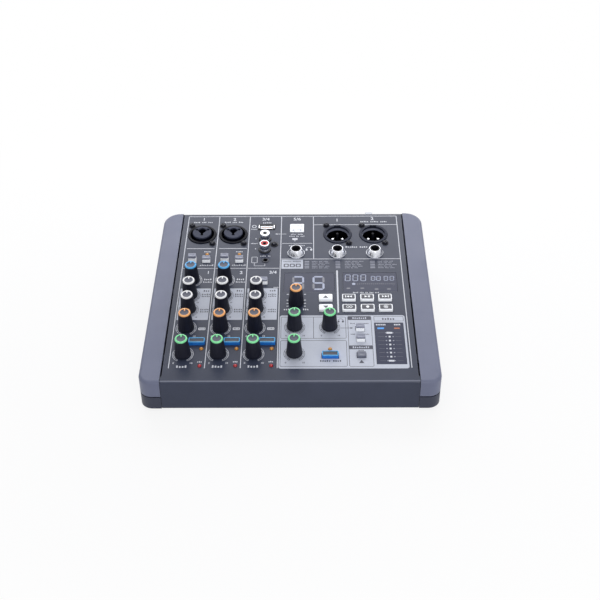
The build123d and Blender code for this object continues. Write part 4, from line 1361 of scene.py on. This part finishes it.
def make_meter_marks():
    pitch = (METER_ROWS[0] - METER_ROWS[1]) / (METER_COUNT - 1)
    first = METER_ROWS[0]
    grow_marks("meter_lamps", BAR_LADDER, [(METER_MIDDLE, first)], -0.08, "lamp_amber", INK_WHITE,
               Bar_Count=METER_COUNT, Pitch=pitch, Bar_Size=(1.5, 1.7, 0.1))
    sides = [(METER_MIDDLE + side * 2.7, first) for side in (-1, 1)]
    grow_marks("meter_steps", BAR_LADDER, sides, -0.08, "print_white", INK_GREY,
               Bar_Count=METER_COUNT, Pitch=pitch, Bar_Size=(1.1, 0.9, 0.1))
    lines = [(METER_MIDDLE + side * 6.6, first) for side in (-1, 1)]
    grow_marks("meter_lines", BAR_LADDER, lines, -0.09, "print_white", SEGMENT_DIM,
               Bar_Count=METER_COUNT, Pitch=pitch, Bar_Size=(4.6, 0.35, 0.1))


def make_effect_table():
    pitch = (TABLE_ROWS[0] - TABLE_ROWS[1]) / (TABLE_COUNT - 1)
    numbers = [(narrow, TABLE_ROWS[0]) for narrow, wide in TABLE_COLUMNS]
    grow_marks("table_numbers", BAR_LADDER, numbers, PRINT / 2, "print_white", INK_GREY,
               Bar_Count=TABLE_COUNT, Pitch=pitch, Bar_Size=(3.9, 1.0, PRINT))
    bm = bmesh.new()
    for column, (narrow, wide) in enumerate(TABLE_COLUMNS):
        for row in range(TABLE_COUNT):
            length = 13.5 + 2.2 * math.sin(2.3 * row + 1.7 * column)
            legend(bm, (wide + (length - 15.0) / 2, TABLE_ROWS[0] - row * pitch), length, 1.15, words=3)
    piece("table_lines", bm, CONSOLE, "print_white", INK_GREY)


# ---- printed artwork ----

FRAME_LEFT, FRAME_RIGHT = -91.1, 91.0
FRAME_FRONT, FRAME_BACK = 2.0, 185.3
RULE = 0.65                          # width of a white rule
SEPARATORS = (-64.1, -37.3, -9.7)
NUMBER_ROW = 181.2                   # channel numbers at the back
REAR_RULE, OUTPUT_RULE, PORT_RULE = 127.4, 173.3, 148.0
TRIM_RULE, MICROPHONE_RULE = 115.7, 141.4
THIN_RULE, CROSS_RULE = 0.5, 0.6     # widths of the narrower rules
HOLE_STEPS = 24
LABEL_PLACE = (12.3, 44.0)           # small label beside an effect knob, from the knobs' column
OUTPUT_COLUMN = 18.2
EQ_ROWS = (54.0, 90.8)
EQ_COLUMNS = ((-90.0, -65.3), (-62.7, -38.5), (-35.7, -11.2))
MASTER_COLUMNS, MASTER_ROWS = (-8.8, 89.3), (1.3, 58.8)
TAG_COLUMNS, TAG_ROWS = (-8.7, 9.3), (115.0, 126.5)
SHAFT_HOLE = 3.8
CAP_GAP = 0.35


def extent(columns, rows):
    """Middle and size of the box between two columns and two rows."""
    middle = ((columns[0] + columns[1]) / 2, (rows[0] + rows[1]) / 2)
    return middle, (columns[1] - columns[0], rows[1] - rows[0])


def box_points(columns, rows, radius):
    return rounded(*extent(columns, rows), radius, 0)


def node_window(node, gap):
    """Outline of the panel's opening round a CAD node."""
    low, high = panel_box(node)
    return box_points((low.x - gap, high.x + gap), (low.y - gap, high.y + gap), 0.4)


def print_light_fields():
    """The pale printed fields, cut out round everything that comes through the panel."""
    bm = bmesh.new()
    for number, columns in enumerate(EQ_COLUMNS, start=1):
        holes = [circle(KNOBS[f"{kind}_knob_{number}"], SHAFT_HOLE, 0, HOLE_STEPS)
                 for kind in ("high", "low")]
        cut_sheet(bm, [box_points(columns, EQ_ROWS, 0.6), *holes])
    holes = [circle(KNOBS[name], SHAFT_HOLE, 0, HOLE_STEPS)
             for name in ("return_knob", "phones_knob", "main_knob")]
    holes.append(circle(MAIN_LAMP, LAMP_RADIUS + 0.15, 0, HOLE_STEPS))
    for name in ("main_mute_button", "listen_switch", "route_switch", "supply_switch"):
        holes.append(node_window(name, CAP_GAP))
    holes.append(node_window("level_meter", 0.15))
    cut_sheet(bm, [box_points(MASTER_COLUMNS, MASTER_ROWS, 2.0), *holes])
    cut_sheet(bm, [box_points(TAG_COLUMNS, TAG_ROWS, 0.4)])
    piece("light_fields", bm, CONSOLE, "print_white", INK_PALE)


def print_rules(bm):
    """White rules that part the channels."""
    for u in (FRAME_LEFT, *SEPARATORS, FRAME_RIGHT):
        stroke(bm, (u, FRAME_FRONT), (u, FRAME_BACK), RULE)
    stroke(bm, (FRAME_LEFT, FRAME_BACK), (FRAME_RIGHT, FRAME_BACK), RULE)
    stroke(bm, (OUTPUT_COLUMN, REAR_RULE), (OUTPUT_COLUMN, FRAME_BACK), RULE)
    stroke(bm, (OUTPUT_COLUMN, OUTPUT_RULE), (FRAME_RIGHT, OUTPUT_RULE), CROSS_RULE)
    stroke(bm, (SEPARATORS[2], REAR_RULE), (FRAME_RIGHT, REAR_RULE), CROSS_RULE)
    stroke(bm, (SEPARATORS[2] + 1.2, PORT_RULE), (OUTPUT_COLUMN - 1.2, PORT_RULE), THIN_RULE)
    for left, right in ((FRAME_LEFT + 1.6, SEPARATORS[0] - 1.9), (SEPARATORS[0] + 2.1, SEPARATORS[1] - 1.2)):
        stroke(bm, (left, MICROPHONE_RULE), (right, MICROPHONE_RULE), CROSS_RULE)
    for left, right in zip((FRAME_LEFT, *SEPARATORS), SEPARATORS):
        stroke(bm, (left + 0.8, TRIM_RULE), (right - 0.8, TRIM_RULE), THIN_RULE)
    stroke(bm, (37.4, 62.0), (37.4, 112.7), 1.3)


def print_numbers(bm):
    """Plain channel numbers at the back and beside the trims."""
    for text, place in (("1", (-77.7, NUMBER_ROW)), ("2", (-50.7, NUMBER_ROW)), ("3/4", (-23.5, NUMBER_ROW)),
                        ("5/6", (4.0, NUMBER_ROW)), ("1", (38.9, 179.6)), ("2", (69.7, 181.6))):
        numeral(bm, text, place, 5.2)
    for text, place in (("1", (-69.0, 110.5)), ("2", (-41.8, 110.2)), ("3/4", (-15.6, 110.4))):
        numeral(bm, text, place, 5.0)


# Legends: column, row, width, height and words. Those of a channel count from its knobs' column.
CHANNEL_LEGENDS = ((0.4, 3.7, 9.5, 2.5), (LAMP_OFFSET, 8.6, 4.4, 1.5))
MICROPHONE_LEGENDS = ((12.6, 101.9, 6.4, 1.9), (12.6, 98.7, 7.4, 1.5), (10.3, 119.8, 11.6, 1.7),
                      (9.8, 137.2, 5.6, 1.4), (3.6, 177.2, 17.0, 1.6, 3))
LINE_LEGENDS = ((-22.5, 176.4, 7.0, 1.8), (-12.4, 91.9, 4.6, 1.2))
PHONO_LEGENDS = ((-31.0, 154.5, 1.6, 1.5), (-31.0, 141.0, 1.6, 1.5), (-32.5, 148.0, 6.0, 1.4))
PORT_LEGENDS = ((4.0, 160.4, 11.0, 1.4, 2), (4.0, 157.7, 13.5, 1.4, 3))
OUTPUT_LEGENDS = ((54.3, 143.0, 18.5, 2.0, 2), (71.0, 177.5, 24.0, 1.7, 3))
TONE_LEGENDS = ((12.3, 88.0, 4.4, 2.0), (12.2, 83.7, 6.4, 1.6), (12.2, 81.4, 6.4, 1.6),
                (12.2, 65.8, 6.2, 1.6), (12.2, 63.4, 6.2, 1.6))


def print_channel_marks(bm):
    """Small marks that repeat from channel to channel."""
    for number, column in enumerate(CHANNEL_COLUMNS):
        legends(bm, CHANNEL_LEGENDS, column)
        for row in (16.5, 45.0):
            end_numbers(bm, (column, row), (6.4, 6.9), 9.3, 2.3)
        patch(bm, (column + LABEL_PLACE[0], LABEL_PLACE[1]), (5.6, 2.8), 0.7)
        if number < 2:
            legends(bm, MICROPHONE_LEGENDS, column)
    legends(bm, LINE_LEGENDS)


def print_rear_marks(bm):
    """Marks round the rear connectors."""
    arc_band(bm, (-33.3, 171.2), 1.7, 0.7, 0, 360)
    legend(bm, (-33.0, 167.4), 6.0, 1.3)
    legends(bm, PHONO_LEGENDS)
    polygon(bm, [(-15.2, 160.7), (-12.8, 159.8), (-12.8, 161.6)])
    stroke(bm, (-13.0, 160.7), (-5.2, 160.7), 0.45)
    legends(bm, PORT_LEGENDS)
    patch(bm, (2.2, 153.8), (4.6, 2.6), 0.8)
    stroke(bm, (2.2, 152.8), (2.2, 151.0), 0.6)
    legend(bm, (3.8, 145.2), 13.5, 1.6, words=2)
    for u in (12.2, 16.2):
        patch(bm, (u, 139.5), (1.7, 2.4), 0.6)
    arc_band(bm, (14.2, 140.6), 2.2, 0.4, 10, 170)
    legend(bm, (-22.5, 131.4), 9.0, 1.5, words=2)
    outline(bm, (-31.4, 126.4), (5.0, 7.8), 0.8, 0.45)
    lead = ((-31.4, 122.4), (-31.4, 118.8), (-22.6, 118.8), (-22.6, 121.4))
    for start, end in zip(lead, lead[1:]):
        stroke(bm, start, end, 0.4)
    legends(bm, OUTPUT_LEGENDS)


def print_centre_marks(bm):
    """Ticks and bars round the parameter knob, and the row over the player keys."""
    u, v = KNOBS["parameter_knob"]
    for side in (-1, 1):
        for rise in (10.3, 3.4, -0.4, -3.7):
            patch(bm, (u + side * 6.9, v + rise), (1.7, 0.8), 0.2)
        legend(bm, (u + side * 7.6, v - 7.4), 5.0, 1.9)
    legend(bm, (60.3, 85.4), 21.5, 1.3, words=5)


def print_white_artwork():
    bm = bmesh.new()
    print_rules(bm)
    print_numbers(bm)
    print_channel_marks(bm)
    print_rear_marks(bm)
    print_centre_marks(bm)
    piece("white_artwork", bm, CONSOLE, "print_white", INK_WHITE)


SWITCH_COLUMN = (44.4, 63.0)


def thin_frame(bm, columns, rows, radius=1.2):
    outline(bm, *extent(columns, rows), radius, 0.35, layer=1)


def print_dark_artwork():
    """Dark print on the pale fields."""
    bm = bmesh.new()
    for column in CHANNEL_COLUMNS:
        legends(bm, TONE_LEGENDS, column, layer=1)
        for row in (82.2, 65.3):
            end_numbers(bm, (column, row), (6.2, 6.5), 8.3, 1.9, layer=1)
    for name in ("return_knob", "phones_knob", "main_knob"):
        end_numbers(bm, KNOBS[name], (6.5, 6.9), 9.4, 2.2, layer=1)
    thin_frame(bm, (-7.8, 43.0), (33.0, 57.0))
    thin_frame(bm, (-7.8, 43.0), (3.3, 31.0))
    stroke(bm, (17.7, 33.2), (17.7, 56.8), 0.4, layer=1)
    thin_frame(bm, SWITCH_COLUMN, (3.2, 57.7))
    middle = sum(SWITCH_COLUMN) / 2
    for rows in ((53.5, 57.7), (21.4, 25.4)):
        patch(bm, (middle, sum(rows) / 2), (SWITCH_COLUMN[1] - SWITCH_COLUMN[0] - 0.4, rows[1] - rows[0]),
              0.6, layer=1)
    thin_frame(bm, (65.0, 88.3), (52.0, 57.5), 0.4)
    legend(bm, (76.6, 54.7), 11.0, 2.4, layer=1)
    for u in (37.3, 40.7):
        patch(bm, (u, 51.8), (1.5, 2.1), 0.5, layer=1)
    arc_band(bm, (39.0, 52.8), 2.0, 0.35, 10, 170, layer=1)
    stroke(bm, (38.8, 44.5), (46.6, 44.5), 0.4, layer=1)
    polygon(bm, [(48.6, 44.5), (46.4, 45.5), (46.4, 43.5)], layer=1)
    legend(bm, (30.2, 9.2), 16.0, 1.9, layer=1, words=2)
    polygon(bm, [(51.7, 6.8), (55.7, 6.8), (53.7, 10.2)], layer=1)
    for row in (49.5, 37.6):
        for side in (-1, 1):
            legend(bm, (53.7 + side * 5.4, row), 4.2, 1.1, layer=1)
    for step in (-1, 0, 1):
        patch(bm, (53.7 + step * 1.5, 20.0), (0.8, 1.1), 0.2, layer=1)
    numeral(bm, "0", (2.6, 118.9), 1.0, layer=1)
    legend(bm, (0.3, 124.2), 15.0, 1.3, layer=1, words=2)
    for step in (-1, 0, 1):
        outline(bm, (0.3 + step * 5.0, 119.1), (4.2, 4.2), 0.8, 0.9, layer=1)
    piece("dark_artwork", bm, CONSOLE, "panel_paint", INK_DARK)
    heads = bmesh.new()
    legend(heads, (middle, 55.6), 11.5, 1.9, layer=2)
    legend(heads, (middle, 23.4), 13.0, 1.9, layer=2)
    for column in CHANNEL_COLUMNS:
        legend(heads, (column + LABEL_PLACE[0], LABEL_PLACE[1]), 4.2, 1.3, layer=1, number=1)
    piece("head_artwork", heads, CONSOLE, "print_white", INK_PALE, INK_DARK)


# ---- displays ----

GLASS = -0.1                       # face of the windows
GLASS_ROOT, GLASS_FACE = GLASS - 0.04, GLASS + 0.03
SEGMENTS = {
    "top": ((0, 1), (1, 1)), "upper_left": ((0, 0.5), (0, 1)), "upper_right": ((1, 0.5), (1, 1)),
    "middle": ((0, 0.5), (1, 0.5)), "lower_left": ((0, 0), (0, 0.5)),
    "lower_right": ((1, 0), (1, 0.5)), "bottom": ((0, 0), (1, 0)),
}
TWO = ("top", "upper_right", "middle", "lower_left", "bottom")
FIVE = ("top", "upper_left", "middle", "lower_right", "bottom")
ZERO = ("top", "upper_left", "upper_right", "lower_left", "lower_right", "bottom")


def segment(bm, start, end, width, number):
    """One tapered bar of a digit."""
    a, b = Vector(start), Vector(end)
    along = (b - a).normalized()
    across = Vector((-along.y, along.x)) * width / 2
    gap = along * width * 0.14
    tip = along * width / 2
    corners = [a + gap, a + gap + tip - across, b - gap - tip - across, b - gap,
               b - gap - tip + across, a + gap + tip + across]
    prism(bm, corners, (GLASS_ROOT, GLASS_FACE), number)


def digit(bm, place, size, width, lit, lean=0.05):
    """A seven-bar digit: bars in lit use material 0, the others material 1."""
    for name, (start, end) in SEGMENTS.items():
        ends = []
        for share_u, share_v in (start, end):
            v = (share_v - 0.5) * (size[1] - width)
            ends.append((place[0] + (share_u - 0.5) * (size[0] - width) + lean * v, place[1] + v))
        segment(bm, ends[0], ends[1], width, 0 if name in lit else 1)


def make_display_marks():
    """Digits of both windows, and the player's track line with its marks."""
    bm = bmesh.new()
    digit(bm, (5.4, 97.3), (9.8, 17.0), 1.75, TWO, 0.0)
    digit(bm, (22.0, 97.3), (9.8, 17.0), 1.75, FIVE, 0.0)
    for u in (46.0, 52.3, 58.8):
        digit(bm, (u, 103.5), (4.6, 8.0), 0.65, ZERO)
    for u in (66.8, 71.2, 77.3, 82.2):
        digit(bm, (u, 102.8), (3.6, 5.6), 0.6, ZERO)
    piece("display_digits", bm, CONSOLE, "window", SEGMENT_LIT, SEGMENT_DIM)
    track = bmesh.new()
    turned(track, (50.7, 96.0), [(1.4, GLASS_ROOT), (1.4, GLASS_FACE), (1.1, GLASS + 0.05)], count=32)
    for step in range(19):
        slab(track, (53.8 + step * 1.65, 96.0), (0.8, 0.9), 0.15, [(0, GLASS_ROOT), (0, GLASS_FACE)], 1)
    for u, v in ((46.2, 90.7), (57.5, 90.7), (69.0, 89.6), (79.0, 89.6)):
        slab(track, (u, v), (3.0, 1.6), 0.5, [(0, GLASS_ROOT), (0, GLASS_FACE)], 1)
    piece("player_marks", track, CONSOLE, "window", SEGMENT_LIT, SEGMENT_DIM)


def glass_patch(bm, place, size, number):
    slab(bm, place, size, 0.25, [(0, GLASS_ROOT), (0, GLASS + 0.04)], number)


def make_meter_head():
    """White captions and two lit marks at the head of the level meter."""
    bm = bmesh.new()
    for u, width in ((70.2, 8.0), (83.2, 5.8)):
        for step in range(round(width / 1.3)):
            glass_patch(bm, (u - width / 2 + 1.3 * (step + 0.5), 48.2), (0.95, 1.5), 0)
    glass_patch(bm, (69.9, 44.2), (5.2, 1.8), 1)
    glass_patch(bm, (82.5, 44.2), (4.4, 1.3), 2)
    glass_patch(bm, (METER_MIDDLE, METER_ROWS[0]), (4.6, 1.9), 0)
    glass_patch(bm, (METER_MIDDLE, METER_ROWS[1]), (4.2, 1.7), 0)
    piece("meter_head", bm, CONSOLE, "lamp_blue", INK_WHITE, LAMP_BLUE, LAMP_ORANGE)


def make_power_cap():
    """The pale push cap on the rear wall, rounded over its end."""
    low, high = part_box("power_button")
    wall_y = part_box("top_cover")[1].y
    place = ((low.x + high.x) / 2, (low.z + high.z) / 2)
    size = (high.x - low.x, high.z - low.z)
    bm = bmesh.new()
    rings = []
    for inset, y in ((0, wall_y - 0.0035), (0, high.y - 0.0012), (0.0003, high.y - 0.0005),
                     (0.0009, high.y - 0.0001), (0.0015, high.y)):
        inner = (size[0] - 2 * inset, size[1] - 2 * inset)
        loop = rounded(place, inner, max(0.0002, 0.0009 - inset * 0.3), 0)
        rings.append([Vector((point.x, y, point.y)) for point in loop])
    skin(bm, rings)
    half = STEM * MM / 2
    corners = [(-half, -half), (half, -half), (half, half), (-half, half)]
    skin(bm, [[Vector((place[0] + u, y, place[1] + v)) for u, v in corners]
              for y in (low.y, wall_y - 0.003)])
    bmesh.ops.recalc_face_normals(bm, faces=bm.faces)
    cap = add_piece("power_cap", closed_mesh("power_cap", bm), "power_button", [CAP_PALE])
    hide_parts("power_button")


# ---- the stage ----


def seen_directly(tree):
    """The ray's kinds, and 1 where it comes from the camera or a mirror."""
    ray = add_node(tree, "ShaderNodeLightPath")
    seen = add_node(tree, "ShaderNodeMath", operation="MAXIMUM")
    wire(tree, (ray, "Is Camera Ray", seen, 0), (ray, "Is Glossy Ray", seen, 1))
    return ray, seen


FLOOR_WHITE = 0.84               # share of plain white in the floor beside the object


def make_floor():
    """A pale floor that keeps the object's shadow and fades to the white of the backdrop."""
    bm = bmesh.new()
    bmesh.ops.create_circle(bm, cap_ends=True, radius=6.0, segments=96)
    floor = new_object("floor", closed_mesh("floor", bm))
    material, tree, shader = new_material("floor_paper")
    preset(shader, Base_Color=shade(250, 250, 252), Roughness=0.9, Specular_IOR_Level=0.0)
    white = add_node(tree, "ShaderNodeEmission")
    where = add_node(tree, "ShaderNodeTexCoord")
    reach = add_node(tree, "ShaderNodeVectorMath", operation="LENGTH")
    fade = preset(add_node(tree, "ShaderNodeMapRange"), From_Min=0.22, From_Max=0.45, To_Min=FLOOR_WHITE)
    seen = seen_directly(tree)[1]
    share = add_node(tree, "ShaderNodeMath", operation="MULTIPLY")
    mix = add_node(tree, "ShaderNodeMixShader")
    wire(tree, (where, "Object", reach, 0), (reach, "Value", fade, "Value"),
               (fade, "Result", share, 0), (seen, 0, share, 1), (share, 0, mix, 0), (shader, 0, mix, 1),
               (white, 0, mix, 2))
    tree.links.new(mix.outputs[0], tree.nodes["Material Output"].inputs["Surface"])
    floor.data.materials.append(material)


AMBIENT = 0.4


def make_world():
    """White where it is seen or mirrored, and a plain soft fill for everything else."""
    world = bpy.data.worlds.new("studio")
    bpy.context.scene.world = world
    world.use_nodes = True
    tree = world.node_tree
    tree.nodes.clear()
    fill = preset(add_node(tree, "ShaderNodeBackground"), Color=(0.97, 0.98, 1.0, 1), Strength=AMBIENT)
    white = preset(add_node(tree, "ShaderNodeBackground"), Color=(1, 1, 1, 1))
    ray, seen = seen_directly(tree)
    clear = add_node(tree, "ShaderNodeMath", operation="MAXIMUM")
    mix = add_node(tree, "ShaderNodeMixShader")
    output = add_node(tree, "ShaderNodeOutputWorld")
    wire(tree, (seen, 0, clear, 0),
               (ray, "Is Transmission Ray", clear, 1), (clear, 0, mix, 0), (fill, 0, mix, 1),
               (white, 0, mix, 2), (mix, 0, output, "Surface"))


def add_softbox(name, place, target, size, power):
    lamp = bpy.data.lights.new(name, "AREA")
    lamp.shape = "RECTANGLE"
    lamp.size, lamp.size_y = size
    lamp.energy = power
    holder = new_object(name, lamp)
    holder.location = place
    holder.rotation_euler = (Vector(target) - Vector(place)).to_track_quat("-Z", "Y").to_euler()


def make_lights():
    add_softbox("overhead_softbox", (-0.1, 0.1, 1.1), (0, 0, 0.03), (1.0, 0.8), 2.0)
    add_softbox("rear_softbox", (0.0, 0.75, 0.52), (0, 0, 0.03), (1.3, 0.6), 6.0)
    add_softbox("front_softbox", (0.3, -1.0, 0.6), (0, 0, 0.03), (0.8, 0.5), 3.3)
    add_softbox("side_softbox", (0.9, -0.2, 0.7), (0, 0, 0.03), (0.6, 0.6), 1.0)


LENS, SENSOR = 60.0, 36.0
CAMERA_PLACE = (0.0152, -0.6579, 0.5171)
CAMERA_TILT, CAMERA_ROLL, CAMERA_TURN = 53.232, 0.350, 0.185     # degrees
CAMERA_SHIFT = -4 / 600


def make_camera():
    lens = bpy.data.cameras.new("camera")
    lens.lens = LENS
    lens.sensor_width = SENSOR
    lens.shift_x = CAMERA_SHIFT
    camera = new_object("camera", lens)
    camera.location = CAMERA_PLACE
    camera.rotation_euler = [math.radians(turn) for turn in (CAMERA_TILT, CAMERA_ROLL, CAMERA_TURN)]
    bpy.context.scene.camera = camera


# ---- making it all ----

make_camera()
paint_nodes()
for knob_name, knob_place in KNOBS.items():
    make_knob(knob_name, knob_place)
make_buttons()
make_phone_jacks()
make_rca_pair()
make_usb_a()
make_usb_b()
make_xlr_pins()
make_cup_ledges()
make_ear_plates()
make_mini_collar()
make_lamps()
make_power_cap()
print_light_fields()
print_white_artwork()
print_dark_artwork()
make_dial_scales()
make_meter_marks()
make_effect_table()
make_display_marks()
make_meter_head()
make_floor()
make_world()
make_lights()
bpy.context.scene.view_settings.view_transform = "Standard"
